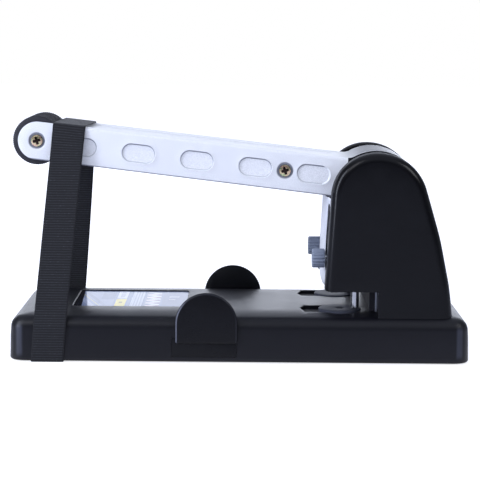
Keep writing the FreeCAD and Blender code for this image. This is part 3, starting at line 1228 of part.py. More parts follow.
def main():
    """Build every sub-part and write its file."""
    model = Model("HolePunch", SIZES)
    make_base_housing(model)
    make_base_floor(model)
    make_chassis(model)
    make_frame(model)
    make_punch_guide(model)
    make_carrier(model)
    make_knobs(model)
    make_panels(model)
    make_covers(model)
    make_fulcrum(model)
    make_handle_channel(model)
    make_levers(model)
    make_grip(model)
    make_pinion(model)
    make_guides(model)
    make_strap(model)
    model.export("parts")


main()
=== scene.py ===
import logging
import math
from collections.abc import Callable, Iterable, Sequence
from dataclasses import dataclass, field
from enum import Enum
from typing import Any

import bmesh
import bpy
from mathutils import Matrix, Vector
from mathutils.geometry import delaunay_2d_cdt


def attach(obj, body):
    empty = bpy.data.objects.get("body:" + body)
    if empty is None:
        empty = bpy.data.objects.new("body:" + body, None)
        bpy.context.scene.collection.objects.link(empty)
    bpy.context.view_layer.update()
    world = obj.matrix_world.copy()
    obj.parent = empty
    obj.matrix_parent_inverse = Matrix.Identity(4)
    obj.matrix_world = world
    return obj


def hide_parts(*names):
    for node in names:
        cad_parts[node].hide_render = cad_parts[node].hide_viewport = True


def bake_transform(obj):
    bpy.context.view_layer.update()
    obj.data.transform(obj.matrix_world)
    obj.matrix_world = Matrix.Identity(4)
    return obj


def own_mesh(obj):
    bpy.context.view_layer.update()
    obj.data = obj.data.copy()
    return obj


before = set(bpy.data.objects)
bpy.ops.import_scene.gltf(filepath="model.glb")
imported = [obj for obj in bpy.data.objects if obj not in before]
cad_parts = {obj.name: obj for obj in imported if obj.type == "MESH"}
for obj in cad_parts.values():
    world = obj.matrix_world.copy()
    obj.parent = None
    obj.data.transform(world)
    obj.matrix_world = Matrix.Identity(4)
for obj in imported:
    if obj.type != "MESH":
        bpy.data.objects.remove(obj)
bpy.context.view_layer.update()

LOG = logging.getLogger("hole_punch")

Flat = tuple[float, float]
Outline = list[Flat]
Place = Callable[[float, float, float], Vector]
Colour = tuple[float, float, float]
Piece = bpy.types.Object

# Lengths are written in millimetres; MM turns them into metres.
MM = 0.001
# Distance from the middle of each hole's punch, disc, slot and knob.
HOLE_Y = 40.0
# The guides' pinion; the far guide is the near one turned about it.
PINION_X = -17.5
# Half the width of the base at its foot.
BASE_HALF = 78.2


class Side(Enum):
    """The two long sides of the punch."""

    NEAR = -1
    FAR = 1

    @property
    def word(self) -> str:
        """The side's name in lower case."""
        return self.name.lower()


@dataclass(frozen=True)
class HandleLine:
    """Sizes that the handle, its paint and the strap share.

    Places are measured along the handle and above its line, from the pivot.
    """

    pivot_x: float = 118.0
    pivot_z: float = 140.0
    slope: float = 6.2
    grip: Flat = (-298.2, 14.0)
    screw: Flat = (-81.5, 13.2)
    emboss: Flat = (-260.5, 13.0)
    emboss_pitch: float = 51.0
    emboss_length: float = 27.0
    emboss_height: float = 14.0

    @property
    def turn(self) -> float:
        """The slope in radians."""
        return math.radians(self.slope)


LINE = HandleLine()


# ---------------- outlines


def arc(centre: Flat, radius: float, start: float, end: float, count: int) -> Outline:
    """Points along a circular arc.

    Args:
        centre: Middle of the circle.
        radius: Radius of the circle.
        start: First angle, in degrees.
        end: Last angle, in degrees.
        count: Number of steps.

    Returns:
        count + 1 points.
    """
    turns = [math.radians(start + (end - start) * i / count) for i in range(count + 1)]
    return [(centre[0] + radius * math.cos(a), centre[1] + radius * math.sin(a)) for a in turns]


def rounded(corners: Sequence[tuple[float, ...]], steps: int = 8, closed: bool = True) -> Outline:
    """A polygon with its corners rounded.

    Args:
        corners: Corner points, each with an optional radius as a third number.
        steps: Steps along each rounded corner.
        closed: Whether the last corner joins the first.

    Returns:
        The points of the rounded polygon.
    """
    points: Outline = []
    count = len(corners)
    for index, corner in enumerate(corners):
        here = Vector(corner[:2])
        radius = corner[2] if len(corner) > 2 else 0.0
        ends = not closed and index in (0, count - 1)
        if radius <= 0 or ends:
            points.append((here.x, here.y))
            continue
        back = (Vector(corners[index - 1][:2]) - here).normalized()
        ahead = (Vector(corners[(index + 1) % count][:2]) - here).normalized()
        half = back.angle(ahead) / 2
        reach = radius / math.tan(half)
        middle = here + (back + ahead).normalized() * radius / math.sin(half)
        first = here + back * reach - middle
        turn = first.angle_signed(here + ahead * reach - middle)
        for step in range(steps + 1):
            spoke = first.copy()
            spoke.rotate(Matrix.Rotation(-turn * step / steps, 2))
            points.append((middle.x + spoke.x, middle.y + spoke.y))
    return points


def oblong(centre: Flat, length: float, height: float, steps: int) -> Outline:
    """A slot shape with round ends, counter-clockwise from its lower right.

    Args:
        centre: Middle of the shape.
        length: Length over the round ends.
        height: Height, which is also the ends' diameter.
        steps: Steps round each end.

    Returns:
        The points of the shape.
    """
    reach = (length - height) / 2
    right = arc((centre[0] + reach, centre[1]), height / 2, -90, 90, steps)
    left = arc((centre[0] - reach, centre[1]), height / 2, 90, 270, steps)
    return right + left


def circle(centre: Flat, radius: float, steps: int) -> Outline:
    """A circle, counter-clockwise, without its closing point."""
    return arc(centre, radius, 0, 360, steps)[:-1]


def inside(point: Flat, outline: Outline) -> bool:
    """Tell whether a point lies within a closed outline.

    Args:
        point: The point.
        outline: The closed outline.

    Returns:
        True if it does.
    """
    x, y = point
    within = False
    x0, y0 = outline[-1]
    for x1, y1 in outline:
        if (y0 > y) != (y1 > y) and x < (x1 - x0) * (y - y0) / (y1 - y0) + x0:
            within = not within
        x0, y0 = x1, y1
    return within


def swell(outline: Outline, amount: float) -> Outline:
    """Move a closed outline outwards along its corner bisectors.

    Args:
        outline: The closed outline.
        amount: Distance to move, negative for inwards.

    Returns:
        As many points as before.
    """
    count = len(outline)
    area = sum(outline[i - 1][0] * outline[i][1] - outline[i][0] * outline[i - 1][1]
               for i in range(count))
    sign = 1.0 if area > 0 else -1.0
    moved: Outline = []
    for index in range(count):
        here = Vector(outline[index])
        back = (here - Vector(outline[index - 1])).normalized()
        ahead = (Vector(outline[(index + 1) % count]) - here).normalized()
        normal = Vector((back.y + ahead.y, -back.x - ahead.x)).normalized() * sign
        stretch = max(normal.dot(Vector((back.y, -back.x)) * sign), 0.5)
        spot = here + normal * amount / stretch
        moved.append((spot.x, spot.y))
    return moved


def blend_step(value: float, low: float, high: float) -> float:
    """A smooth step from 0 at low to 1 at high."""
    share = min(max((value - low) / (high - low), 0.0), 1.0)
    return share * share * (3 - 2 * share)


def quarter(count: int, first: int = 0, end: float = 90.0) -> list[float]:
    """Angles in radians from 0 to an end in degrees, in even steps, from a first step on."""
    return [math.radians(end * step / count) for step in range(first, count + 1)]


# ---------------- meshes


@dataclass(frozen=True)
class Relief:
    """A raised or sunk feature of a panel.

    Rings go from the outside in, each an outline with its height. A filled feature ends in a floor,
    and an open one in a hole.
    """

    rings: Sequence[tuple[Outline, float]]
    filled: bool = True


def sunk(shape: Callable[[float], Outline], steps: Sequence[Flat], filled: bool = True) -> Relief:
    """A relief made of one shape at several sizes.

    Args:
        shape: Gives the outline grown by an amount.
        steps: Pairs of growth and height, from the outside in.
        filled: Whether the innermost ring is closed by a floor.

    Returns:
        The relief.
    """
    return Relief([(shape(grow), height) for grow, height in steps], filled)


class Skin:
    """The surface of one piece, gathered in millimetres before it becomes a mesh."""

    def __init__(self) -> None:
        """Start with no points and no faces."""
        self.points: list[Vector] = []
        self.faces: list[tuple[int, ...]] = []

    def ring(self, points: Iterable[Sequence[float]]) -> list[int]:
        """Add a row of points.

        Args:
            points: The row.

        Returns:
            The points' numbers.
        """
        start = len(self.points)
        self.points.extend(Vector(point) for point in points)
        return list(range(start, len(self.points)))

    def bridge(self, first: Sequence[int], second: Sequence[int], closed: bool = True) -> None:
        """Join two rows of equal length with four-sided faces.

        Args:
            first: Numbers of one row's points.
            second: Numbers of the other row's points.
            closed: Whether the rows are rings.
        """
        count = len(first)
        for index in range(count if closed else count - 1):
            after = (index + 1) % count
            self.faces.append((first[index], first[after], second[after], second[index]))

    def loft(self, rows: Sequence[Iterable[Sequence[float]]], closed: bool = True,
             caps: bool = False) -> list[list[int]]:
        """Join several rows one after another.

        Args:
            rows: Rows of points, all of one length.
            closed: Whether each row is a ring.
            caps: Whether the first and last rings are filled.

        Returns:
            The numbers of each row's points.
        """
        rings = [self.ring(row) for row in rows]
        for first, second in zip(rings, rings[1:]):
            self.bridge(first, second, closed)
        if caps:
            self.faces.append(tuple(rings[0]))
            self.faces.append(tuple(rings[-1]))
        return rings

    def patch(self, rim: Sequence[int], flat: dict[int, Flat], holes: Sequence[Sequence[int]],
              place: Place, step: float) -> None:
        """Fill the space between a rim and its holes with an even net of triangles.

        Args:
            rim: Numbers of the outer points.
            flat: Panel coordinates of the rim's and the holes' points.
            holes: Numbers of each hole's points.
            place: Turns panel coordinates and a height into a place.
            step: Spacing of the net's inner points.
        """
        numbers: list[int] = []
        edges: list[tuple[int, int]] = []
        for loop in (rim, *holes):
            start, size = len(numbers), len(loop)
            edges += [(start + i, start + (i + 1) % size) for i in range(size)]
            numbers += loop
        border, *gaps = [[flat[number] for number in loop] for loop in (rim, *holes)]
        fresh = self._net(border, gaps, step)
        spots = [Vector(point) for point in [*(flat[number] for number in numbers), *fresh]]
        numbers += self.ring(place(u, v, 0.0) for u, v in fresh)
        found = delaunay_2d_cdt(spots, edges, [], 0, 1e-6)
        for face in found[2]:
            middle = sum((found[0][corner] for corner in face), Vector((0, 0))) / len(face)
            centre = (middle.x, middle.y)
            if inside(centre, border) and not any(inside(centre, gap) for gap in gaps):
                self.faces.append(tuple(numbers[found[3][corner][0]] for corner in face))

    @staticmethod
    def _net(border: Outline, gaps: Sequence[Outline], step: float) -> Outline:
        """Spread a patch's inner points evenly and keep them off its edges.

        Args:
            border: Outer edge.
            gaps: Holes to leave open.
            step: Spacing of the points.

        Returns:
            The inner points.
        """
        row_share, clearance = 0.866, 0.55
        low_u, high_u = min(p[0] for p in border), max(p[0] for p in border)
        low_v, high_v = min(p[1] for p in border), max(p[1] for p in border)
        cells: dict[tuple[int, int], list[Flat]] = {}
        for point in [point for outline in (border, *gaps) for point in outline]:
            cells.setdefault((int(point[0] // step), int(point[1] // step)), []).append(point)
        points: Outline = []
        rows = int((high_v - low_v) / (step * row_share)) + 1
        for row in range(1, rows):
            v = low_v + row * step * row_share
            u = low_u + step * (0.5 if row % 2 else 1.0)
            while u < high_u:
                cell = (int(u // step), int(v // step))
                close = (q for i in (-1, 0, 1) for j in (-1, 0, 1)
                         for q in cells.get((cell[0] + i, cell[1] + j), ()))
                clear = all(math.dist(q, (u, v)) > clearance * step for q in close)
                if clear and inside((u, v), border) and not any(inside((u, v), g) for g in gaps):
                    points.append((u, v))
                u += step
        return points

    def panel(self, outline: Outline, place: Place, reliefs: Sequence[Relief] = (),
              step: float = 8.0, rim: Sequence[int] | None = None) -> list[int]:
        """A panel with raised or sunk features.

        Args:
            outline: Outer edge in panel coordinates.
            place: Turns panel coordinates and a height into a place.
            reliefs: Features of the panel.
            step: Spacing of the net.
            rim: Numbers of points that already stand along the outline.

        Returns:
            Numbers of the outer points.
        """
        edge = list(rim) if rim is not None else self.ring(place(u, v, 0.0) for u, v in outline)
        flat = dict(zip(edge, outline))
        holes = []
        for relief in reliefs:
            rings = self.loft([[place(u, v, height) for u, v in shape]
                               for shape, height in relief.rings])
            flat.update(zip(rings[0], relief.rings[0][0]))
            holes.append(rings[0])
            if relief.filled:
                shape, height = relief.rings[-1]
                floor = dict(zip(rings[-1], shape))
                self.patch(rings[-1], floor, [], lambda u, v, h, z=height: place(u, v, z + h), step)
        self.patch(edge, flat, holes, place, step)
        return edge

    def lathe(self, profile: Sequence[Flat], place: Place, steps: int = 64,
              ripple: Callable[[float, float], float] | None = None) -> None:
        """Turn a profile round an axis.

        Args:
            profile: Pairs of radius and distance along the axis. A radius of 0 closes an end.
            place: Turns two coordinates across the axis and one along it into a place.
            steps: Steps round the axis.
            ripple: Changes a radius by its angle in radians.
        """
        rings: list[list[int]] = []
        for radius, along in profile:
            if radius <= 0:
                rings.append(self.ring([place(0.0, 0.0, along)]))
                continue
            row = []
            for index in range(steps):
                turn = math.tau * index / steps
                reach = ripple(radius, turn) if ripple else radius
                row.append(place(reach * math.cos(turn), reach * math.sin(turn), along))
            rings.append(self.ring(row))
        for first, second in zip(rings, rings[1:]):
            if min(len(first), len(second)) > 1:
                self.bridge(first, second)
                continue
            tip, row = sorted((first, second), key=len)
            for index in range(steps):
                self.faces.append((tip[0], row[index], row[(index + 1) % steps]))

    def build(self, name: str, sharp: float = 38.0, weld: float = 0.001) -> Piece:
        """Turn the skin into a mesh object in metres.

        Args:
            name: Name of the piece.
            sharp: Angle in degrees above which an edge stays sharp.
            weld: Points nearer than this, in millimetres, become one.

        Returns:
            The new object.
        """
        mesh = bpy.data.meshes.new(name)
        mesh.from_pydata([point * MM for point in self.points], [], self.faces)
        work = bmesh.new()
        work.from_mesh(mesh)
        bmesh.ops.remove_doubles(work, verts=work.verts, dist=weld * MM)
        bmesh.ops.recalc_face_normals(work, faces=work.faces)
        work.to_mesh(mesh)
        work.free()
        piece = bpy.data.objects.new(name, mesh)
        bpy.context.scene.collection.objects.link(piece)
        shade(piece, sharp)
        return piece


def shade(piece: Piece, sharp: float) -> None:
    """Shade a mesh smoothly, apart from edges sharper than an angle in degrees."""
    piece.data.polygons.foreach_set("use_smooth", [True] * len(piece.data.polygons))
    piece.data.set_sharp_from_angle(angle=math.radians(sharp))


def modify(piece: Piece, kind: str, **settings: Any) -> None:
    """Add a modifier.

    Args:
        piece: The piece that gets it.
        kind: The modifier's type.
        settings: Its settings by name.
    """
    modifier = piece.modifiers.new(kind.title(), kind)
    for name, value in settings.items():
        setattr(modifier, name, value)


def soften(piece: Piece, width: float, angle: float = 40.0) -> None:
    """Give a piece's sharp edges a small rounded bevel, width in millimetres."""
    modify(piece, "BEVEL", width=width * MM, segments=2, limit_method="ANGLE",
           angle_limit=math.radians(angle), harden_normals=False)


def thicken(piece: Piece, thick: float, centre: Vector, bevel: Flat,
            sharp: float) -> None:
    """Give a skin the thickness of its sheet, inwards, and round its cut edges.

    Args:
        piece: The skin.
        thick: Thickness of the sheet.
        centre: A point that the skin's outer face looks away from.
        bevel: Width of the rounding, and the angle in degrees above which an edge gets it.
        sharp: Angle in degrees above which an edge stays sharp.
    """
    look = sum(poly.normal.dot(poly.center - centre * MM) * poly.area
               for poly in piece.data.polygons)
    if look < 0:
        piece.data.flip_normals()
    modify(piece, "SOLIDIFY", thickness=thick * MM, offset=-1.0, use_rim=True)
    soften(piece, *bevel)
    bpy.context.view_layer.update()
    graph = bpy.context.evaluated_depsgraph_get()
    mesh = bpy.data.meshes.new_from_object(piece.evaluated_get(graph))
    piece.modifiers.clear()
    piece.data = mesh
    mesh.name = piece.name
    shade(piece, sharp)


def upright(x: float, y: float) -> Place:
    """A place maker for a piece that stands on an upright axis."""
    return lambda a, b, h: Vector((x + a, y + b, h))


# ---------------- shader sums


class Wire:
    """A value socket in a shader, so that sums on it can be written as expressions."""

    def __init__(self, graph: "Graph", socket: bpy.types.NodeSocket) -> None:
        """Wrap an output socket of a graph."""
        self.graph = graph
        self.socket = socket

    def _sum(self, operation: str, *terms: "Wire | float") -> "Wire":
        """Add one Math node and give its result."""
        settings = {"operation": operation}
        return self.graph.add("ShaderNodeMath", settings, dict(enumerate(terms)))[0]

    def __add__(self, other: "Wire | float") -> "Wire":
        """Sum of two values."""
        return self._sum("ADD", self, other)

    def __radd__(self, other: float) -> "Wire":
        """Sum with a number on the left."""
        return self._sum("ADD", other, self)

    def __sub__(self, other: "Wire | float") -> "Wire":
        """Difference of two values."""
        return self._sum("SUBTRACT", self, other)

    def __rsub__(self, other: float) -> "Wire":
        """Difference with a number on the left."""
        return self._sum("SUBTRACT", other, self)

    def __mul__(self, other: "Wire | float") -> "Wire":
        """Product of two values."""
        return self._sum("MULTIPLY", self, other)

    def __rmul__(self, other: float) -> "Wire":
        """Product with a number on the left."""
        return self._sum("MULTIPLY", other, self)

    def __pow__(self, other: "Wire | float") -> "Wire":
        """Power of a value."""
        return self._sum("POWER", self, other)

    def __rpow__(self, other: float) -> "Wire":
        """Power of a number."""
        return self._sum("POWER", other, self)

    def above(self, edge: float) -> "Wire":
        """1 where the value is above an edge, else 0."""
        return self._sum("GREATER_THAN", self, edge)

    def below(self, edge: float) -> "Wire":
        """1 where the value is below an edge, else 0."""
        return self._sum("LESS_THAN", self, edge)

    def between(self, low: float, high: float) -> "Wire":
        """1 where the value lies between two edges, else 0."""
        return self.above(low) * self.below(high)

    def wrapped(self, period: float) -> "Wire":
        """The value's place within a repeating period, from 0 to the period."""
        return self._sum("WRAP", self, period, 0.0)

    def wave(self) -> "Wire":
        """Sine of the value, in radians."""
        return self._sum("SINE", self)

    def size(self) -> "Wire":
        """The value without its sign."""
        return self._sum("ABSOLUTE", self)

    def eased(self, low: float, high: float) -> "Wire":
        """A smooth step from 0 at low to 1 at high."""
        settings = {"interpolation_type": "SMOOTHSTEP"}
        return self.graph.add("ShaderNodeMapRange", settings, {0: self, 1: low, 2: high})[0]

    def faded(self, low: float, high: float) -> "Wire":
        """A smooth step from 1 at low to 0 at high."""
        return 1.0 - self.eased(low, high)

    def hump(self, rise: Flat, fall: Flat) -> "Wire":
        """A smooth rise over one stretch and a smooth fall over another."""
        return self.eased(*rise) * self.faded(*fall)

    def span(self, other: "Wire") -> "Wire":
        """Length of a flat arrow with this value and another as its sides."""
        return (self * self + other * other) ** 0.5


class Graph:
    """The nodes of a material or of the world."""

    def __init__(self, owner: bpy.types.Material | bpy.types.World) -> None:
        """Start with no nodes.

        Args:
            owner: The material or world.
        """
        owner.use_nodes = True
        self.tree = owner.node_tree
        self.tree.nodes.clear()

    def add(self, kind: str, settings: dict[str, Any] | None = None,
            inputs: dict[int | str, Any] | None = None) -> list[Wire]:
        """Add a node.

        Args:
            kind: The node's type.
            settings: Its settings, set first. "stops" holds a ramp's positions and colours.
            inputs: Values or wires for its sockets, by number or name.

        Returns:
            Its outputs.
        """
        node = self.tree.nodes.new(kind)
        for name, value in (settings or {}).items():
            if name == "stops":
                ramp = node.color_ramp
                while len(ramp.elements) < len(value):
                    ramp.elements.new(0.5)
                for element, (position, colour) in zip(ramp.elements, value):
                    element.position = position
                    element.color = (*colour, 1.0)
            else:
                setattr(node, name, value)
        for key, value in (inputs or {}).items():
            if isinstance(value, Wire):
                self.tree.links.new(value.socket, node.inputs[key])
            else:
                node.inputs[key].default_value = value
        return [Wire(self, socket) for socket in node.outputs]

    def dress(self, **inputs: Any) -> None:
        """Add the principled shader and the output.

        Args:
            inputs: Values or wires for the shader's sockets, named with underscores.
        """
        named = {name.replace("_", " "): value for name, value in inputs.items()}
        surface = self.add("ShaderNodeBsdfPrincipled", {}, named)[0]
        self.add("ShaderNodeOutputMaterial", {}, {0: surface})

    def place(self) -> Wire:
        """Place on the object, in metres."""
        return self.add("ShaderNodeTexCoord")[3]

    def parts(self, vector: Wire) -> list[Wire]:
        """The three values of a vector, turned from metres into millimetres."""
        return [part * 1000.0 for part in self.add("ShaderNodeSeparateXYZ", {}, {0: vector})]

    def axes(self) -> list[Wire]:
        """Place on the object, in millimetres, as three values."""
        return self.parts(self.place())

    def noise(self, scale: float, detail: float = 3.0, where: Wire | None = None) -> Wire:
        """Cloudy noise from 0 to 1; scale is in cells per metre."""
        inputs = {"Vector": where or self.place(), "Scale": scale, "Detail": detail}
        return self.add("ShaderNodeTexNoise", {}, inputs)[0]

    def cells(self, scale: float) -> Wire:
        """Distance to the nearest of scattered points; scale is in cells per metre."""
        return self.add("ShaderNodeTexVoronoi", {}, {"Vector": self.place(), "Scale": scale})[0]

    def stretch(self, scale: Sequence[float]) -> Wire:
        """Place on the object, scaled along each axis."""
        settings = {"operation": "MULTIPLY"}
        return self.add("ShaderNodeVectorMath", settings, {0: self.place(), 1: tuple(scale)})[0]

    def mix(self, factor: Wire, first: Any, second: Any) -> Wire:
        """Blend two colours.

        Args:
            factor: Share of the second colour.
            first: A wire or three numbers.
            second: A wire or three numbers.

        Returns:
            The blend.
        """
        ends = [value if isinstance(value, Wire) else (*value, 1.0) for value in (first, second)]
        return self.add("ShaderNodeMix", {"data_type": "RGBA"},
                        {0: factor, 6: ends[0], 7: ends[1]})[2]

    def bump(self, height: Wire, depth: float) -> Wire:
        """Normals of a height pattern; depth is in millimetres."""
        inputs = {"Height": height, "Distance": depth * MM, "Strength": 1.0}
        return self.add("ShaderNodeBump", {}, inputs)[0]


# ---------------- finishes


def scaled(colour: Colour, factor: float, lift: float = 0.0) -> Colour:
    """A colour times a factor plus a lift, kept within 1."""
    return tuple(min(part * factor + lift, 1.0) for part in colour)


@dataclass(frozen=True)
class Finish:
    """A surface finish that becomes one material."""

    name: str

    def material(self) -> bpy.types.Material:
        """Give the finish as a material, made once.

        Returns:
            The material.
        """
        name = f"finish_{self.name}"
        material = bpy.data.materials.get(name)
        if material is None:
            material = bpy.data.materials.new(name)
            self.paint(Graph(material))
        return material

    def paint(self, graph: Graph) -> None:
        """Add the finish's nodes."""
        raise NotImplementedError

    def on(self, piece: Piece) -> None:
        """Put the finish on a piece."""
        piece.data.materials.clear()
        piece.data.materials.append(self.material())


@dataclass(frozen=True)
class GrainedPlastic(Finish):
    """Moulded plastic with a fine spark-eroded grain and faint rubbing marks."""

    colour: Colour
    rough: float
    grain: float = 0.045
    gloss: float = 0.35

    def paint(self, graph: Graph) -> None:
        """Add the grain, the rubbing marks, the plastic's own rougher places and its painted
        highlights.

        Args:
            graph: The material's nodes.
        """
        fine = graph.noise(2600.0, 2.0)
        pits = graph.cells(1700.0)
        clouds = graph.noise(38.0, 4.0)
        rubbed = graph.noise(9.0, 5.0, graph.stretch((1.0, 0.35, 2.2)))
        tint = graph.mix(fine * 0.5 + rubbed.eased(0.45, 0.75) * 0.35, self.colour,
                         scaled(self.colour, 1.7, 0.0012))
        rough = self.rough + (clouds - 0.5) * 0.10 + (fine - 0.5) * 0.10
        rough = rough - rubbed.eased(0.5, 0.8) * 0.06
        graph.dress(Base_Color=self.scuff(graph, tint), Roughness=self.wear(graph, rough),
                    Normal=graph.bump(fine * 0.6 + pits * 0.8, self.grain),
                    Specular_IOR_Level=self.gloss)

    def wear(self, graph: Graph, rough: Wire) -> Wire:
        """Rougher places on the plastic; plain plastic has none."""
        return rough

    def scuff(self, graph: Graph, tint: Wire) -> Wire:
        """Painted highlights on the plastic; plain plastic has none."""
        return tint


@dataclass(frozen=True)
class BasePlastic(GrainedPlastic):
    """The base's plastic, with a painted highlight down its near corners."""

    rubbed: Colour = (0.032, 0.034, 0.048)
    rise: Flat = (184.5, 187.0)
    fall: Flat = (189.5, 192.0)
    near: float = -66.0
    foot: Flat = (3.0, 9.0)
    shoulder: Flat = (29.0, 34.0)

    def scuff(self, graph: Graph, tint: Wire) -> Wire:
        """Paint a soft highlight band down each near corner.

        Args:
            graph: The material's nodes.
            tint: The plastic's colour.

        Returns:
            The colour with the bands.
        """
        x, y, z = graph.axes()
        # Painted highlight: a pale band down each near corner, where light catches the rounded
        # edge.
        band = x.size().hump(self.rise, self.fall) * y.below(self.near)
        return graph.mix(band * z.hump(self.foot, self.shoulder), tint, self.rubbed)


@dataclass(frozen=True)
class GuidePlastic(GrainedPlastic):
    """The guides' plastic, with a painted highlight along the near tab's rim."""

    rubbed: Colour = (0.10, 0.105, 0.135)
    middle: Flat = (-28.4, 34.5)
    rise: Flat = (24.7, 25.3)
    fall: Flat = (25.9, 26.4)
    near: float = -79.5
    left: Flat = (-24.0, -14.0)
    least: float = 0.12

    def scuff(self, graph: Graph, tint: Wire) -> Wire:
        """Paint a highlight along the rim, strongest down its left side.

        Args:
            graph: The material's nodes.
            tint: The plastic's colour.

        Returns:
            The colour with the rubbed rim.
        """
        x, y, z = graph.axes()
        over, up = x - self.middle[0], z - self.middle[1]
        reach = over.span(up * up.above(0.0))
        # Painted highlight along the near tab's rim, strongest down its left side.
        rim = reach.hump(self.rise, self.fall) * y.below(self.near)
        side = self.least + over.faded(*self.left) * (1.0 - self.least)
        return graph.mix(rim * side, tint, self.rubbed)


@dataclass(frozen=True)
class CoverPlastic(GrainedPlastic):
    """The covers' plastic, left duller on the narrow edge next to the handle."""

    dull: float = 0.42
    start: Flat = (-66.0, -60.0)

    def wear(self, graph: Graph, rough: Wire) -> Wire:
        """Roughen the near cover's edge that faces the handle."""
        return rough + graph.axes()[1].eased(*self.start) * self.dull


@dataclass(frozen=True)
class MetallicPaint(Finish):
    """Silver paint with fine metal flakes and a slight orange-peel surface."""

    colour: Colour
    rough: float
    metal: float
    gloss: float = 0.12

    def paint(self, graph: Graph) -> None:
        """Add the flakes, the orange peel and the painted shade.

        Args:
            graph: The material's nodes.
        """
        flakes = graph.noise(2400.0, 2.0)
        clouds = graph.noise(26.0, 3.0)
        peel = graph.noise(620.0, 2.0)
        tint = graph.mix(flakes.eased(0.30, 0.70) * 0.85 + (clouds - 0.5) * 0.2,
                         scaled(self.colour, 0.80), scaled(self.colour, 1.10))
        rough = self.rough + (flakes - 0.5) * 0.22 + (clouds - 0.5) * 0.06
        graph.dress(Base_Color=self.age(graph, tint), Roughness=rough, Metallic=self.metal,
                    Normal=graph.bump(peel * 0.8 + flakes * 0.3, 0.035),
                    Specular_IOR_Level=self.gloss)

    def age(self, graph: Graph, tint: Wire) -> Wire:
        """Painted shade on the paint; plain paint has none."""
        return tint


@dataclass(frozen=True)
class HandlePaint(MetallicPaint):
    """The handle's paint, with a painted dark reflection on the hood's crest and painted shade in
    its side seams, along its hem and in its creases.
    """

    crest: Colour = (0.035, 0.038, 0.05)
    crest_x: float = 115.0
    crest_length: Flat = (4.0, 40.0)
    crest_width: Flat = (30.5, 33.0)
    crest_rise: Flat = (161.0, 172.0)
    seam: Colour = (0.003, 0.003, 0.004)
    seam_y: Flat = (32.3, 33.1)
    seam_reach: Flat = (36.9, 41.5)
    seam_start: float = 93.0
    hem: Colour = (0.22, 0.23, 0.27)
    hem_fall: float = 0.11543
    hem_level: float = 149.19
    hem_height: Flat = (0.5, 1.3)
    hem_end: float = 95.0
    crease: Colour = (0.16, 0.17, 0.21)
    creased: Flat = (-290.0, -48.0)
    flank: float = 33.6

    def age(self, graph: Graph, tint: Wire) -> Wire:
        """Paint the crest's dark reflection and the shade along the hem, in the creases and in the
        seams.

        Args:
            graph: The material's nodes.
            tint: The paint's colour.

        Returns:
            The colour with the marks.
        """
        x, y, z = graph.axes()
        across = y.size()
        away_x, away_z = x - LINE.pivot_x, z - LINE.pivot_z
        # Painted dark reflection on the hood's crest.
        crown = (x - self.crest_x).size().faded(*self.crest_length) * z.eased(*self.crest_rise)
        tint = graph.mix(crown * across.faded(*self.crest_width), tint, self.crest)
        # Painted shade: a darker line along the flange's lower hem, where the edge turns down.
        line = z + x * self.hem_fall - self.hem_level
        hem = line.faded(*self.hem_height) * x.below(self.hem_end)
        tint = graph.mix(hem, tint, self.hem)
        along = away_x * math.cos(LINE.turn) - away_z * math.sin(LINE.turn)
        rise = away_x * math.sin(LINE.turn) + away_z * math.cos(LINE.turn)
        flank = across.above(self.flank)
        # Painted shade in the creases round the dimples and the embossings.
        for fold in (self.ring(along, rise, LINE.grip), self.ring(along, rise, LINE.screw),
                     self.pressings(along, rise)):
            tint = graph.mix(fold * flank, tint, self.crease)
        # Painted shade: the flange's edge beside the covers is painted near black, as the shadow in
        # the gap between them.
        seam = across.eased(*self.seam_y) * away_x.span(away_z).between(*self.seam_reach)
        return graph.mix(seam * x.above(self.seam_start), tint, self.seam)

    def ring(self, along: Wire, rise: Wire, centre: Flat) -> Wire:
        """Painted shade in the crease round one screw's dimple."""
        reach = (along - centre[0]).span(rise - centre[1])
        return reach.hump((5.0, 5.4), (6.5, 7.6)) * 0.85

    def pressings(self, along: Wire, rise: Wire) -> Wire:
        """Painted shade in the creases round the row of embossings, stronger along their upper
        edges.

        Args:
            along: Place along the handle.
            rise: Height above the handle's line.

        Returns:
            1 in a crease, else 0.
        """
        half, pitch = LINE.emboss_height / 2, LINE.emboss_pitch
        straight = LINE.emboss_length / 2 - half
        across = (along - (LINE.emboss[0] - pitch / 2)).wrapped(pitch) - pitch / 2
        across = (across.size() - straight) * across.size().above(straight)
        up = rise - LINE.emboss[1]
        edge = across.span(up) - half
        strength = 0.45 + up.eased(-3.0, 6.0) * 0.45
        return edge.hump((-0.6, 0.0), (0.6, 1.4)) * strength * along.between(*self.creased)


@dataclass(frozen=True)
class PanelPaint(MetallicPaint):
    """The front panel's paint, with painted shade inside its two slots."""

    bare: Colour = (0.004, 0.004, 0.005)
    face: float = 71.6
    bow: Flat = (40.0, 3.3)
    lean: tuple[float, float, float] = (88.0, 150.0, 2.2)
    skin: float = 0.45
    slots: Flat = (34.5, 45.5)
    foot: float = 72.5

    def age(self, graph: Graph, tint: Wire) -> Wire:
        """Paint shade on the walls of the slots.

        Args:
            graph: The material's nodes.
            tint: The paint's colour.

        Returns:
            The colour with the dark walls.
        """
        x, y, z = graph.axes()
        across = y * (1.0 / self.bow[0])
        deep = x - self.face - across * across * self.bow[1]
        deep = deep - z.eased(*self.lean[:2]) * self.lean[2]
        # Painted shade: the walls inside the slots are painted near black.
        inner = deep.above(self.skin) * y.size().between(*self.slots) * z.above(self.foot)
        return graph.mix(inner, tint, self.bare)


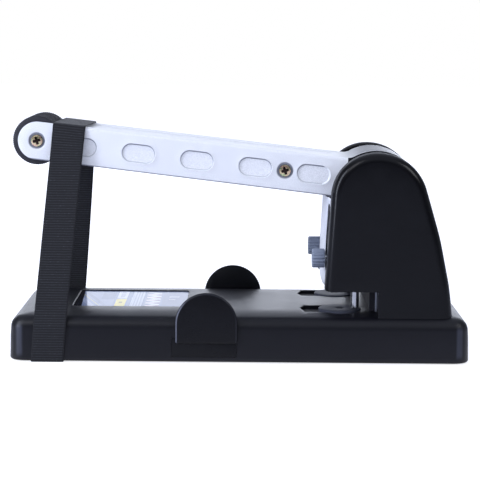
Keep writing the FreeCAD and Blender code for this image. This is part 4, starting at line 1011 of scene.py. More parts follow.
@dataclass(frozen=True)
class BareMetal(Finish):
    """Metal with faint drawn or brushed lines along one direction."""

    colour: Colour
    rough: float
    lines: Colour = (60.0, 60.0, 2200.0)
    depth: float = 0.012
    stain: Colour = (0.45, 0.45, 0.46)

    def paint(self, graph: Graph) -> None:
        """Add the lines and the stains.

        Args:
            graph: The material's nodes.
        """
        drawn = graph.noise(1.0, 3.0, graph.stretch(self.lines))
        clouds = graph.noise(90.0, 4.0)
        tint = graph.mix(clouds.eased(0.42, 0.72) * 0.55, self.colour, self.stain)
        rough = self.rough + (drawn - 0.5) * 0.16 + (clouds - 0.5) * 0.10
        graph.dress(Base_Color=tint, Roughness=rough, Normal=graph.bump(drawn, self.depth),
                    Metallic=1.0)


@dataclass(frozen=True)
class ZincPlate(Finish):
    """Yellow zinc plating with its red and green tints, and painted shade down in the recess."""

    stops: tuple[tuple[float, Colour], ...] = (
        (0.30, (0.42, 0.60, 0.30)), (0.45, (0.80, 0.70, 0.42)),
        (0.58, (0.85, 0.62, 0.42)), (0.72, (0.80, 0.36, 0.34)))
    deep: Colour = (0.05, 0.035, 0.03)
    recess: float = 35.7

    def paint(self, graph: Graph) -> None:
        """Add the tints, the pits and the painted shade in the recess.

        Args:
            graph: The material's nodes.
        """
        sheen = graph.noise(420.0, 3.0)
        pits = graph.noise(1500.0, 2.0)
        tint = graph.add("ShaderNodeValToRGB", {"stops": self.stops}, {0: sheen})[0]
        # Painted shade: darker in the cross recess and low on the head.
        tint = graph.mix(graph.axes()[1].size().below(self.recess), tint, self.deep)
        graph.dress(Base_Color=tint, Roughness=0.20 + pits * 0.14, Metallic=1.0,
                    Normal=graph.bump(pits, 0.02))


@dataclass(frozen=True)
class SmoothPlastic(Finish):
    """Plain moulded plastic with a light mould texture."""

    colour: Colour
    rough: float
    gloss: float = 0.5

    def paint(self, graph: Graph) -> None:
        """Add the mould texture.

        Args:
            graph: The material's nodes.
        """
        fine = graph.noise(1500.0, 2.0)
        clouds = graph.noise(60.0, 4.0)
        tint = graph.mix(clouds * 0.7 + fine * 0.3, scaled(self.colour, 0.82),
                         scaled(self.colour, 1.12))
        rough = self.rough + (clouds - 0.5) * 0.10 + (fine - 0.5) * 0.06
        graph.dress(Base_Color=tint, Roughness=rough, Normal=graph.bump(fine, 0.012),
                    Specular_IOR_Level=self.gloss)


@dataclass(frozen=True)
class SoftRubber(Finish):
    """Matte rubber with a powdery surface."""

    colour: Colour

    def paint(self, graph: Graph) -> None:
        """Add the powder and the dust.

        Args:
            graph: The material's nodes.
        """
        fine = graph.noise(1900.0, 3.0)
        dust = graph.noise(70.0, 4.0).eased(0.45, 0.8)
        tint = graph.mix(dust * 0.5 + fine * 0.25, self.colour, scaled(self.colour, 2.4, 0.006))
        graph.dress(Base_Color=tint, Roughness=0.62 + fine * 0.15, Specular_IOR_Level=0.3,
                    Normal=graph.bump(fine, 0.03))


@dataclass(frozen=True)
class Webbing(Finish):
    """Woven elastic: tight crosswise ribs with scattered pale threads and selvedge lines."""

    colour: Colour = (0.0075, 0.0075, 0.0092)
    thread: Colour = (0.052, 0.054, 0.064)
    rib_pitch: float = 2.2
    twill_pitch: float = 0.9
    middle: float = 14.0
    selvedge: Flat = (12.2, 13.2)

    def paint(self, graph: Graph) -> None:
        """Weave the ribs, the twill and the stray threads over the band's own map.

        Args:
            graph: The material's nodes.
        """
        along, across = graph.parts(graph.add("ShaderNodeUVMap")[0])[:2]
        rib = ((along * (math.tau / self.rib_pitch)).wave() + 1.0) * 0.5
        twill = across * (math.tau / self.twill_pitch) + along * (math.pi / self.rib_pitch)
        twill = (twill.wave() + 1.0) * 0.5
        spots = graph.add("ShaderNodeCombineXYZ", {}, {0: across * 0.55, 1: along * 0.74})[0]
        stray = graph.noise(1.0, 1.0, spots).eased(0.60, 0.72)
        edge = (across - self.middle).size().eased(*self.selvedge)
        pale = rib.eased(0.45, 0.95) * (twill * 0.45 + stray * 0.4 + 0.1) * (1.0 - edge * 0.6)
        graph.dress(Base_Color=graph.mix(pale, self.colour, self.thread),
                    Roughness=0.78 + rib * 0.12, Normal=graph.bump(rib * 0.8 + twill * 0.25, 0.18),
                    Sheen_Weight=0.12, Sheen_Roughness=0.5, Specular_IOR_Level=0.25)


@dataclass(frozen=True)
class LabelPrint(Finish):
    """A glossy label with plain printed blocks, stripes and dots and no lettering."""

    ground: Colour = (0.22, 0.255, 0.36)
    right_ground: Colour = (0.22, 0.245, 0.33)
    right_start: float = -69.5
    margin: Colour = (0.012, 0.012, 0.015)
    margin_end: float = -141.0

    def paint(self, graph: Graph) -> None:
        """Print the blocks one over another, darken the label's left end, and glaze them.

        Args:
            graph: The material's nodes.
        """
        x, y, _ = graph.axes()

        def area(x_low: float, x_high: float, y_low: float, y_high: float) -> Wire:
            """1 within a rectangle of the label."""
            return x.between(x_low, x_high) * y.between(y_low, y_high)

        slant = x + y * 0.32
        lines = y.wrapped(3.0).below(1.1)
        rows = y.wrapped(5.2).below(2.6)
        dots = x.wrapped(2.5).below(1.35) * y.wrapped(4.0).below(2.0)
        wedge = (x + (y.wrapped(14.0) - 7.0).size() * 1.3).wrapped(26.0).below(9.0)
        layers: tuple[tuple[Wire, Colour], ...] = (
            (x.above(self.right_start), self.right_ground),
            (slant.between(-143.0, -137.5), (0.30, 0.33, 0.43)),
            (slant.between(-134.0, -133.2), (0.45, 0.43, 0.22)),
            (slant.between(-130.0, -126.5), (0.17, 0.20, 0.28)),
            (area(-125.0, -113.0, 6.0, 42.0) * rows, (0.16, 0.19, 0.27)),
            (area(-125.0, -113.0, -31.0, 2.0) * lines, (0.30, 0.33, 0.43)),
            (area(-111.0, -102.0, 9.0, 44.0), (0.50, 0.52, 0.58)),
            (area(-108.5, -104.5, 14.0, 40.0) * lines, (0.20, 0.22, 0.28)),
            (area(-111.0, -102.0, -31.0, 6.0), (0.62, 0.54, 0.16)),
            (area(-108.0, -105.0, -15.0, -8.0), (0.30, 0.28, 0.14)),
            (area(-97.5, -87.0, -31.0, 44.0), (0.42, 0.45, 0.54)),
            (area(-96.5, -88.0, -29.0, 42.0) * dots, (0.22, 0.24, 0.32)),
            (area(-85.0, -70.5, -31.0, 44.0), (0.28, 0.30, 0.38)),
            (area(-84.0, -71.5, -29.0, 42.0) * wedge, (0.55, 0.56, 0.60)),
            (area(-84.0, -71.5, -29.0, 42.0) * y.wrapped(14.0).below(1.2), (0.60, 0.34, 0.36)),
            (area(-64.0, -55.0, 14.0, 24.0) * lines, (0.46, 0.48, 0.54)),
            (area(-64.0, -58.0, 3.0, 9.0) * lines, (0.50, 0.52, 0.58)),
            # A dark band painted over the label's left end.
            ((x + y * 0.05).below(self.margin_end), self.margin),
        )
        tint: Any = self.ground
        for mask, colour in layers:
            tint = graph.mix(mask, tint, colour)
        graph.dress(Base_Color=tint, Roughness=0.06 + graph.noise(30.0, 4.0) * 0.08,
                    Normal=graph.bump(graph.noise(140.0, 2.0), 0.01), Specular_IOR_Level=0.016)


BASE_BLACK = BasePlastic("base_black", (0.0028, 0.0028, 0.0050), 0.39, 0.04, 0.30)
COVER_BLACK = CoverPlastic("cover_black", (0.0021, 0.0021, 0.0030), 0.23, 0.010, 0.215)
GUIDE_BLACK = GuidePlastic("guide_black", (0.0024, 0.0024, 0.0036), 0.29, 0.012, 0.20)
CORE_BLACK = GrainedPlastic("core_black", (0.02, 0.02, 0.022), 0.5)
HANDLE_SILVER = HandlePaint("handle_silver", (0.80, 0.81, 0.84), 0.40, 0.08)
PANEL_SILVER = PanelPaint("panel_silver", (0.68, 0.70, 0.76), 0.36, 0.15)
CHROME = BareMetal("chrome", (0.55, 0.555, 0.57), 0.16, (900.0, 900.0, 60.0), 0.004,
                   (0.34, 0.345, 0.36))
SHEET_STEEL = BareMetal("sheet_steel", (0.34, 0.36, 0.41), 0.34, stain=(0.22, 0.23, 0.26))
STOP_STEEL = GrainedPlastic("stop_steel", (0.016, 0.016, 0.02), 0.5, 0.05, 0.10)
MACHINED = BareMetal("machined_metal", (0.45, 0.46, 0.48), 0.32, (500.0, 40.0, 500.0), 0.02)
OXIDE = BareMetal("black_oxide", (0.10, 0.10, 0.11), 0.4, (200.0, 200.0, 900.0), 0.02,
                  (0.05, 0.05, 0.055))
BRONZE = BareMetal("sintered_bronze", (0.55, 0.38, 0.18), 0.4, (900.0, 900.0, 900.0), 0.03,
                   (0.40, 0.27, 0.12))
WIRE_STEEL = BareMetal("spring_wire", (0.42, 0.42, 0.44), 0.28, (300.0, 300.0, 300.0), 0.01)
BRIGHT_ZINC = BareMetal("bright_zinc", (0.58, 0.60, 0.64), 0.24, (400.0, 400.0, 400.0), 0.01)
BLACK_SHEET = GrainedPlastic("black_sheet", (0.010, 0.010, 0.011), 0.5, 0.02, 0.4)
YELLOW_ZINC = ZincPlate("yellow_zinc")
KNOB_GREY = SmoothPlastic("knob_grey", (0.21, 0.24, 0.31), 0.42, 0.3)
DISC_GREY = SmoothPlastic("disc_grey", (0.046, 0.049, 0.064), 0.42, 0.02)
NYLON = SmoothPlastic("natural_nylon", (0.62, 0.61, 0.56), 0.45)
FOOT_RUBBER = SoftRubber("foot_rubber", (0.02, 0.02, 0.021))
GRIP_RUBBER = SoftRubber("grip_rubber", (0.02, 0.02, 0.025))
STRAP_WEB = Webbing("strap_webbing")
LABEL = LabelPrint("label_print")


# ---------------- sub-assemblies


@dataclass
class Assembly:
    """Common steps of every sub-assembly."""

    made: list[Piece] = field(default_factory=list, init=False)

    def keep(self, piece: Piece, body: str, slot: str, finish: Finish,
             *nodes: str) -> None:
        """Finish a new piece.

        Args:
            piece: The new piece.
            body: The body it rides on, or no name where it rides on several.
            slot: The material slot's name; not used.
            finish: Its finish.
            nodes: The solids that it stands for.
        """
        finish.on(piece)
        if body:
            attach(piece, body)
        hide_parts(*nodes)
        self.made.append(piece)
        LOG.info("%s on %s: %d faces", piece.name, body or "two bodies", len(piece.data.polygons))

    def dress(self, finish: Finish, *nodes: str, bevel: float = 0.0) -> None:
        """Put a finish on carried-over solids.

        Args:
            finish: The finish.
            nodes: Names of the solids.
            bevel: Width of a bevel on their sharp edges, or 0 for none.
        """
        for node in nodes:
            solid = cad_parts[node]
            finish.on(solid)
            if bevel > 0:
                soften(solid, bevel)
            LOG.info("%s carried over", node)


@dataclass
class Base(Assembly):
    """The moulded base with its floor, feet, label, discs and frame."""

    half_length: float = 197.5
    corner: float = 14.0
    least_corner: float = 6.0
    top: float = 41.5
    low: float = 1.0
    low_round: float = 1.6
    wall: float = 3.0
    tilt: float = 11.0
    crown_start: float = 10.08
    crown_end: float = 34.0
    crown_merge: float = 8.0
    rim_inset: float = 16.0
    shoulder: float = 11.0
    far_lift: float = 5.5
    far_lift_end: float = 44.0
    draft: float = 0.9
    roof: float = 38.55
    roof_inset: float = 11.0
    slide: Flat = (-58.1, -2.3)
    slide_low: float = 5.2
    slide_high: float = 21.8
    recess_left: float = -147.0
    recess_right: float = -47.0
    recess_near: float = -35.0
    recess_far: float = 48.0
    disc_x: float = 87.4
    well: float = 18.9
    notch: float = 15.0
    notch_edge: float = 57.0
    notch_tip: float = 53.0
    foot_spots: tuple[float, ...] = (-138.0, 18.0, 172.0)
    foot_y: float = 58.0
    screw_spots: tuple[float, ...] = (-187.0, 42.0, 187.0)
    screw_y: float = 62.0
    floor_top: float = 2.2

    def build(self) -> None:
        """Make and dress every piece of the base."""
        self.housing()
        for side in Side:
            self.disc(side)
        self.feet()
        self.screws()
        self.dress(LABEL, "label_plate")
        self.dress(BLACK_SHEET, "bottom_plate", "chassis_plate")
        self.dress(SHEET_STEEL, "frame_plate_near", "frame_plate_far", bevel=0.3)
        self.dress(STOP_STEEL, "paper_stop", bevel=0.3)
        self.dress(BRIGHT_ZINC, "foot_bolts", "block_bolts", bevel=0.2)
        self.dress(STOP_STEEL, "disc_pins", bevel=0.2)

    def drop(self, x: float, y: float) -> float:
        """Tell how far the crowned top lies below its highest level.

        Args:
            x: Place along the base.
            y: Place across the base.

        Returns:
            The drop.
        """
        first = self.half_length - abs(x)
        second = BASE_HALF - abs(y) + self.far_lift * blend_step(y, 0.0, self.far_lift_end)
        reach = self.crown_merge
        share = max(reach - abs(first - second), 0.0) / reach
        inset = min(first, second) - share * share * reach / 4
        if inset >= self.crown_end:
            return 0.0
        span = self.crown_end - self.crown_start
        return math.tan(math.radians(self.tilt)) * (self.crown_end - inset) ** 2 / (2 * span)

    def opening(self, side: Side) -> Flat:
        """Both ends of a guide's opening, along the base."""
        low, high = self.slide
        return self.slide if side is Side.NEAR else (2 * PINION_X - high, 2 * PINION_X - low)

    def plan(self, inset: float) -> Outline:
        """Plan outline of the base; every outline has matching points.

        Args:
            inset: Distance inwards from the foot's outline.

        Returns:
            The outline, from the left end of the near side.
        """
        radius = max(self.corner - inset, self.least_corner)
        x, y = self.half_length - inset - radius, BASE_HALF - inset - radius
        ends = [-45.0, -22.5, 0.0, 22.5, 45.0]
        lines = []
        for side, middle in ((Side.NEAR, (-40.0, -20.0)), (Side.FAR, (-15.0, 5.0))):
            low, high = self.opening(side)
            stations = [-165.0 + 22.0 * i for i in range(16)]
            stations = [s for s in stations if not low - 4 < s < high + 4]
            lines.append(sorted(stations + [low, *middle, high]))
        points = arc((-x, -y), radius, 180, 270, 8)
        points += [(s, -y - radius) for s in lines[0]]
        points += arc((x, -y), radius, 270, 360, 8)
        points += [(x + radius, s) for s in ends]
        points += arc((x, y), radius, 0, 90, 8)
        points += [(s, y + radius) for s in reversed(lines[1])]
        points += arc((-x, y), radius, 90, 180, 8)
        points += [(-x - radius, s) for s in reversed(ends)]
        return points

    def edge_level(self) -> float:
        """Height at which the crowned top meets the rounded shoulder."""
        return self.top - self.drop(0.0, self.crown_start - BASE_HALF)

    def level(self, y: float) -> float:
        """Height of the top or the shoulder.

        Args:
            y: Place across the base.

        Returns:
            The height.
        """
        inset = BASE_HALF - abs(y)
        if inset >= self.crown_start:
            return self.top - self.drop(0.0, y)
        centre = self.edge_level() - self.shoulder * math.cos(math.radians(self.tilt))
        reach = min(max(1.0 - (inset - self.draft) / self.shoulder, 0.0), 1.0)
        return centre + self.shoulder * math.sqrt(1.0 - reach * reach)

    def place(self, x: float, y: float, height: float) -> Vector:
        """A place on the crowned top."""
        return Vector((x, y, self.top - self.drop(x, y) + height))

    def ceiling(self, x: float, y: float, height: float) -> Vector:
        """A place on the flat underside of the top, or on the crown where a height is given."""
        return Vector((x, y, self.roof - (self.drop(x, y) if height else 0.0)))

    def levels(self) -> list[Flat]:
        """Section of the side wall.

        Returns:
            Pairs of inset and height, from inside the wall round its foot to the crowned top.
        """
        wall, low, round_off = self.wall, self.low, self.low_round
        section = [(wall, self.roof - 9.0), (wall, self.slide_high), (wall, self.slide_low),
                   (wall, low + 0.5), (wall - 0.5, low)]
        section += [(round_off - round_off * math.sin(a), low + round_off - round_off * math.cos(a))
                    for a in quarter(3)]
        section += [(self.draft * 0.1, self.slide_low), (self.draft * 0.55, self.slide_high)]
        turn = 90.0 - self.tilt
        centre = self.edge_level() - self.shoulder * math.sin(math.radians(turn))
        section += [(self.draft + self.shoulder * (1 - math.cos(a)),
                     centre + self.shoulder * math.sin(a)) for a in quarter(9, 0, turn)]
        return section

    def housing(self) -> None:
        """Make the moulded shell with its recess, wells and guide openings."""
        skin = Skin()
        rows = [[(x, y, z) for x, y in self.plan(inset)] for inset, z in self.levels()]
        for inset in (self.crown_start + 3.0, self.rim_inset):
            rows.append([self.place(x, y, 0.0) for x, y in self.plan(inset)])
        rings = skin.loft(rows)
        self.open_guides(skin, rings)
        roof = [skin.ring((x, y, z) for x, y in self.plan(inset))
                for inset, z in ((self.wall + 2.0, self.roof - 3.5), (self.roof_inset, self.roof))]
        skin.bridge(rings[0], roof[0])
        skin.bridge(roof[0], roof[1])
        wells = [self.well_outline(side) for side in Side]
        roll = ((0.55, 0.0), (0.28, -0.08), (0.08, -0.28), (0.0, -0.55))
        reliefs = [sunk(self.recess_outline, (*roll, (0.0, -2.0)))]
        for outline in wells:
            rolled = [(swell(outline, grow), height) for grow, height in roll]
            reliefs.append(Relief([*rolled, (outline, self.roof - self.top)], False))
        skin.panel(self.plan(self.rim_inset), self.place, reliefs, 5.0, rings[-1])
        floors = [Relief([(outline, 1.0)], False) for outline in wells]
        skin.panel(self.plan(self.roof_inset), self.ceiling, floors, 20.0, roof[1])
        self.keep(skin.build("base_shell", 40.0, 0.01), "base", "base_plastic", BASE_BLACK,
                  "base_housing")

    def recess_outline(self, grow: float) -> Outline:
        """The label recess.

        Args:
            grow: Amount by which it is larger.

        Returns:
            The outline.
        """
        radius = 4.0 + grow
        left, right = self.recess_left - grow, self.recess_right + grow
        near, far = self.recess_near - grow, self.recess_far + grow
        return rounded([(left, near, radius), (right, near, radius), (right, far, radius),
                        (left, far, radius)], 6)

    def well_outline(self, side: Side) -> Outline:
        """A disc well joined with its finger notch.

        Args:
            side: Side of the base.

        Returns:
            The outline.
        """
        y = side.value * HOLE_Y
        half, edge = self.notch, self.notch_edge
        reach = math.degrees(math.asin(half / self.well))
        points = arc((self.disc_x, y), self.well, 180 + reach, 540 - reach, 40)
        lean = -3.0 * side.value
        head = [(edge, y + half, 0.8), (self.notch_tip, y + lean, 0.8), (edge, y - half, 0.8)]
        return points + rounded([points[-1], *head, points[0]], 3, False)[1:-1]

    def open_guides(self, skin: Skin, rings: list[list[int]]) -> None:
        """Cut the two guide openings through the side walls.

        Args:
            skin: The housing's surface.
            rings: Numbers of the points of each row of the wall.
        """
        walls = ((rings[1], rings[2]), (rings[10], rings[9]))
        doomed: set[tuple[int, ...]] = set()
        for side in Side:
            low, high = self.opening(side)
            columns = [i for i, (x, y) in enumerate(self.plan(0.0))
                       if low - 0.01 <= x <= high + 0.01 and y * side.value > BASE_HALF - 0.1]
            for top, bottom in walls:
                spots = {ring[i] for ring in (top, bottom) for i in columns}
                doomed |= {face for face in skin.faces if set(face) <= spots}
            frames = [[top[i] for i in columns] + [bottom[i] for i in reversed(columns)]
                      for top, bottom in walls]
            skin.bridge(frames[0], frames[1])
        skin.faces = [face for face in skin.faces if face not in doomed]

    def disc(self, side: Side) -> None:
        """Make a cutting disc with rolled edges and a shallow centre.

        Args:
            side: Side of the base.
        """
        skin = Skin()
        profile = [(2.3, 38.6), (2.3, 41.7), (3.0, 42.05), (3.6, 42.10), (4.1, 42.28), (4.9, 42.36),
                   (11.0, 42.40), (17.6, 42.36), (18.15, 42.25), (18.42, 42.0), (18.5, 41.6),
                   (18.5, 38.6), (2.3, 38.6)]
        skin.lathe(profile, upright(self.disc_x, side.value * HOLE_Y), 96)
        self.keep(skin.build(f"cutting_disc_top_{side.word}", 50.0), f"disc_{side.word}",
                  "disc_plastic", DISC_GREY, f"cutting_disc_{side.word}")

    def feet(self) -> None:
        """Make round rubber feet with a chamfer and a dished underside."""
        skin = Skin()
        profile = [(0.0, 0.5), (3.0, 0.5), (3.6, 0.0), (7.9, 0.0), (8.5, 0.25), (8.9, 1.0),
                   (9.0, self.floor_top), (0.0, self.floor_top)]
        for x in self.foot_spots:
            for side in Side:
                skin.lathe(profile, upright(x, side.value * self.foot_y), 40)
        self.keep(skin.build("foot_pads", 35.0), "base", "feet_rubber", FOOT_RUBBER, "rubber_feet")

    def screws(self) -> None:
        """Make cross-head screws that hold the floor plate."""
        skin = Skin()
        shank = [(2.0, self.floor_top), (2.0, 17.0), (0.0, 17.0)]
        for x in self.screw_spots:
            for side in Side:
                y = side.value * self.screw_y
                screw_head(skin, lambda a, b, h, x=x, y=y: Vector((x + a, y - b,
                                                                   self.floor_top - h)),
                           4.0, 0.9, 1.9)
                skin.lathe(shank, upright(x, y), 24)
        self.keep(skin.build("floor_screws", 35.0), "base", "plain_screws", BRIGHT_ZINC,
                  "bottom_screws")


def screw_head(skin: Skin, place: Place, radius: float, height: float, arm: float) -> None:
    """A domed screw head with a crossed recess.

    Args:
        skin: The surface to add to.
        place: Turns coordinates across the head and a height above its seat into a place.
        radius: Radius of the head.
        height: Height of the head.
        arm: Reach of the cross from its centre.
    """
    wide = arm * 0.33

    def cross(grow: float) -> Outline:
        """The cross's outline.

        Args:
            grow: Amount by which it is larger.

        Returns:
            The outline.
        """
        long, thin = arm + grow, wide + grow
        inner = thin * 1.25
        points: Outline = []
        for turn in range(4):
            a = math.radians(90 * turn)
            points += [(x * math.cos(a) - y * math.sin(a), x * math.sin(a) + y * math.cos(a))
                       for x, y in ((long, -thin), (long, thin), (inner, inner))]
        return points

    def dome(u: float, v: float, h: float) -> Vector:
        """A place on the dome."""
        share = min(math.hypot(u, v) / radius, 1.0)
        return place(u, v, height * (1 - 0.34 * share ** 2) + h)

    recess = sunk(cross, ((0.0, 0.0), (-0.10, -0.12), (-0.22, -height * 0.62)))
    edge = circle((0.0, 0.0), radius * 0.93, 48)
    rim = skin.panel(edge, dome, [recess], radius * 0.28)
    rings = skin.loft([[place(u * grow, v * grow, height * share) for u, v in edge]
                       for grow, share in ((1.035, 0.60), (1.065, 0.42), (1.075, 0.2),
                                           (1.075, 0.0))])
    skin.bridge(rim, rings[0])
    skin.faces.append(tuple(rings[-1]))


@dataclass
class PaperGuides(Assembly):
    """The sliding guides with their racks and pinion."""

    centre_x: float = -28.4
    radius: float = 26.6
    top: float = 61.1
    low: float = 17.1
    low_corner: float = 2.4
    face: float = 78.4
    block: tuple[Flat, Flat] = ((-57.98, 5.32), (-2.42, 21.68))

    def build(self) -> None:
        """Make both guides and dress what carries them."""
        for side in Side:
            self.guide(side)
        self.dress(NYLON, "guide_rack_near", "guide_rack_far", "guide_pinion", "rack_rail")
        self.dress(BRIGHT_ZINC, "pinion_pin", bevel=0.2)

    def guide(self, side: Side) -> None:
        """Make a round-topped tab on a flush slide block.

        Args:
            side: Side of the punch.
        """
        skin = Skin()
        left, right = self.centre_x - self.radius, self.centre_x + self.radius
        corner, low = self.low_corner, self.low
        tab = arc((self.centre_x, self.top - self.radius), self.radius, 180, 0, 48)
        tab += [(right, 30.0), (right, 24.0)]
        tab += arc((right - corner, low + corner), corner, 0, -90, 5)
        tab += [(right - 14.0, low), (self.centre_x, low), (left + 14.0, low)]
        tab += arc((left + corner, low + corner), corner, 270, 180, 5)
        tab += [(left, 24.0), (left, 30.0)]
        (start, floor), (end, roof) = self.block
        block = rounded([(start, floor, 0.5), (end, floor, 0.5), (end, roof, 0.5),
                         (start, roof, 0.5)], 3)
        roll = ((0.35, 0.0), (0.0, 0.3), (0.0, 0.6), (0.25, 1.15), (0.8, 1.75), (1.5, 2.08),
                (2.2, 2.2))
        deep = ((0.4, -3.2), (0.0, -2.8), (0.0, -0.25), (0.12, -0.06), (0.35, 0.0))
        for shape, steps in ((tab, roll), (block, deep)):
            rows = []
            for inset, h in steps:
                rows.append([(x if side is Side.NEAR else 2 * PINION_X - x,
                              side.value * (self.face + h), z) for x, z in swell(shape, -inset)])
            skin.loft(rows, caps=True)
        self.keep(skin.build(f"guide_tab_{side.word}", 42.0), f"guide_{side.word}",
                  "guide_plastic", GUIDE_BLACK, f"paper_guide_{side.word}")


@dataclass
class PunchHead(Assembly):
    """Covers, panels, knobs and the punching mechanism."""

    inner: float = 50.9
    outer: float = 71.0
    rim: float = 8.0
    wall: float = 2.5
    low: float = 61.4
    low_corner: float = 1.4
    foot: float = 41.8
    leg: float = 118.5
    front: float = 72.8
    lean: float = 6.8
    top: float = 180.3
    arch: float = 38.8
    arch_rear: float = 43.8
    arch_end: float = 149.4
    back: tuple[tuple[float, float, float], ...] = ((171.2, 107.0, 220.0), (179.8, 66.0, 200.0))
    back_foot: float = 182.9
    panel_face: float = 74.9
    panel_half: float = 50.3
    panel_sheet: float = 1.8
    panel_lean: float = 2.2
    lean_span: Flat = (88.0, 150.0)
    bow: float = 3.3
    bend: float = 3.0
    curl_start: float = 71.0
    curl: float = 19.0
    curl_depth: float = 0.43
    curl_drop: float = 0.93
    slot_z: float = 104.0
    slot_length: float = 60.0
    slot_width: float = 8.4
    knob_z: float = 86.2
    spring_x: float = 100.5
    spring_y: float = 27.5
    spring_low: float = 74.2
    spring_high: float = 93.8

    def build(self) -> None:
        """Make and dress every piece of the punch head."""
        for side in Side:
            self.cover(side)
            self.knob(side)
            self.spring(side)
        self.front_panel()
        self.dress(PANEL_SILVER, "rear_panel", bevel=0.3)
        self.dress(CHROME, "punch_tube_near", "punch_tube_far", "guide_rods", bevel=0.15)
        self.dress(CHROME, "fulcrum_shaft", bevel=0.4)
        self.dress(MACHINED, "punch_guide_block", "punch_carrier", bevel=0.4)
        self.dress(BRONZE, "punch_bush_near", "punch_bush_far", bevel=0.2)
        self.dress(OXIDE, "yoke_plates", bevel=0.3)
        self.dress(BRIGHT_ZINC, "yoke_screws", "cover_screws", "knob_stud_near", "knob_stud_far",
                   bevel=0.2)
        self.dress(WIRE_STEEL, "shaft_clips", bevel=0.2)
        self.dress(NYLON, "shaft_spacers", bevel=0.3)

    def cover_path(self, inset: float, lift: float) -> Outline:
        """The cover's front, arch and back as one line, from its throat corner to its foot.

        Args:
            inset: Distance inwards from the widest outline.
            lift: Height above the throat's lowest edge.

        Returns:
            The points of the line.
        """
        lean = inset * 1.04
        low = self.low + lift
        corners = [(self.front + inset + 6.0, low), (self.front + inset, low, self.low_corner),
                   (self.front + self.lean + inset * 0.945, self.top - inset, self.arch - inset),
                   (self.arch_end - inset * 0.745, self.top - inset, self.arch_rear - inset),
                   *[(x - lean, z, radius) for x, z, radius in self.back],
                   (self.back_foot - lean, self.foot)]
        return rounded(corners, 18, False)

    def cover_ring(self, side: Side, inset: float, depth: float, lift: float = 0.0) -> list[Vector]:
        """The closed outline of a cover, with its foot on the crowned base.

        Args:
            side: Side of the punch.
            inset: Distance inwards from the widest outline.
            depth: Distance from the middle of the punch.
            lift: Height above the throat's lowest edge.

        Returns:
            The points of the outline.
        """
        path = self.cover_path(inset, lift)
        front, throat = self.leg + lift, self.low + lift
        start, end = path[0][0], path[-1][0]
        foot = Base().level(side.value * depth) + 0.3
        path[-1] = (end, foot)
        path += [(front + (6 - i) * (end - front) / 7, foot) for i in range(6)]
        path += [(front, foot), (front, foot + 10.0), (front, throat)]
        path += [(front - i * (front - start) / 6, throat) for i in range(1, 6)]
        return [Vector((x, side.value * depth, z)) for x, z in path]

    def cover(self, side: Side) -> None:
        """Make a hollow moulded cover with a rounded outer rim.

        Args:
            side: Side of the punch.
        """
        skin = Skin()
        wall, rim, edge = self.wall, self.rim, self.outer - self.rim
        curve = rim - wall
        steps = [(wall - 0.5, self.inner, 2.0), (1.3, self.inner, 1.3),
                 (0.65, self.inner + 1.0, 0.65), (0.2, self.inner + 3.0, 0.2),
                 (0.0, self.inner + 6.0, 0.0), (0.0, edge, 0.0)]
        steps += [(rim * (1 - math.cos(a)), edge + rim * math.sin(a), 0.0) for a in quarter(8, 1)]
        steps[-1] = (*steps[-1][:2], 0.4)
        hollow = [(wall - 0.5, self.inner, 2.0), (wall, self.inner + 0.5, wall), (wall, edge, wall)]
        hollow += [(wall + curve * (1 - math.cos(a)), edge + curve * math.sin(a), wall)
                   for a in quarter(4, 1)]
        for sizes in (steps, hollow):
            skin.loft([self.cover_ring(side, *size) for size in sizes])
        for size in (steps[-1], hollow[-1]):
            row = self.cover_ring(side, *size)
            skin.panel([(point.x, point.z) for point in row],
                       lambda x, z, h, y=row[0].y: Vector((x, y, z)), (), 12.0)
        self.keep(skin.build(f"cover_{side.word}", 42.0, 0.02), "base", "cover_plastic",
                  COVER_BLACK, f"side_cover_{side.word}")

    def panel_place(self, u: float, v: float, h: float) -> Vector:
        """A place on the folded front panel.

        Args:
            u: Place across the panel, measured along its folds.
            v: Place down the panel.
            h: Height above its outer face.

        Returns:
            The place.
        """
        a = max(self.curl_start - v, 0.0) / self.curl
        x = self.panel_face + self.panel_lean * blend_step(v, *self.lean_span)
        x += self.curl * (1 - math.cos(a)) * self.curl_depth
        z = v if a == 0.0 else self.curl_start - self.curl * math.sin(a) * self.curl_drop
        side, reach = math.copysign(1.0, u), abs(u)
        flat_half, fold = self.panel_half - self.bend, self.bend * math.pi / 2
        x += self.bow * (min(reach, flat_half) / HOLE_Y) ** 2 - self.bow
        if reach <= flat_half:
            return Vector((x, u, z)) + Vector((-math.cos(a), 0.0, -math.sin(a) * 0.8)) * h
        if reach <= flat_half + fold:
            turn = (reach - flat_half) / self.bend
            out = Vector((-math.cos(turn), side * math.sin(turn), 0.0))
            return Vector((x + self.bend, side * flat_half, z)) + out * (self.bend + h)
        return Vector((x + self.bend + reach - flat_half - fold, side * (self.panel_half + h), z))

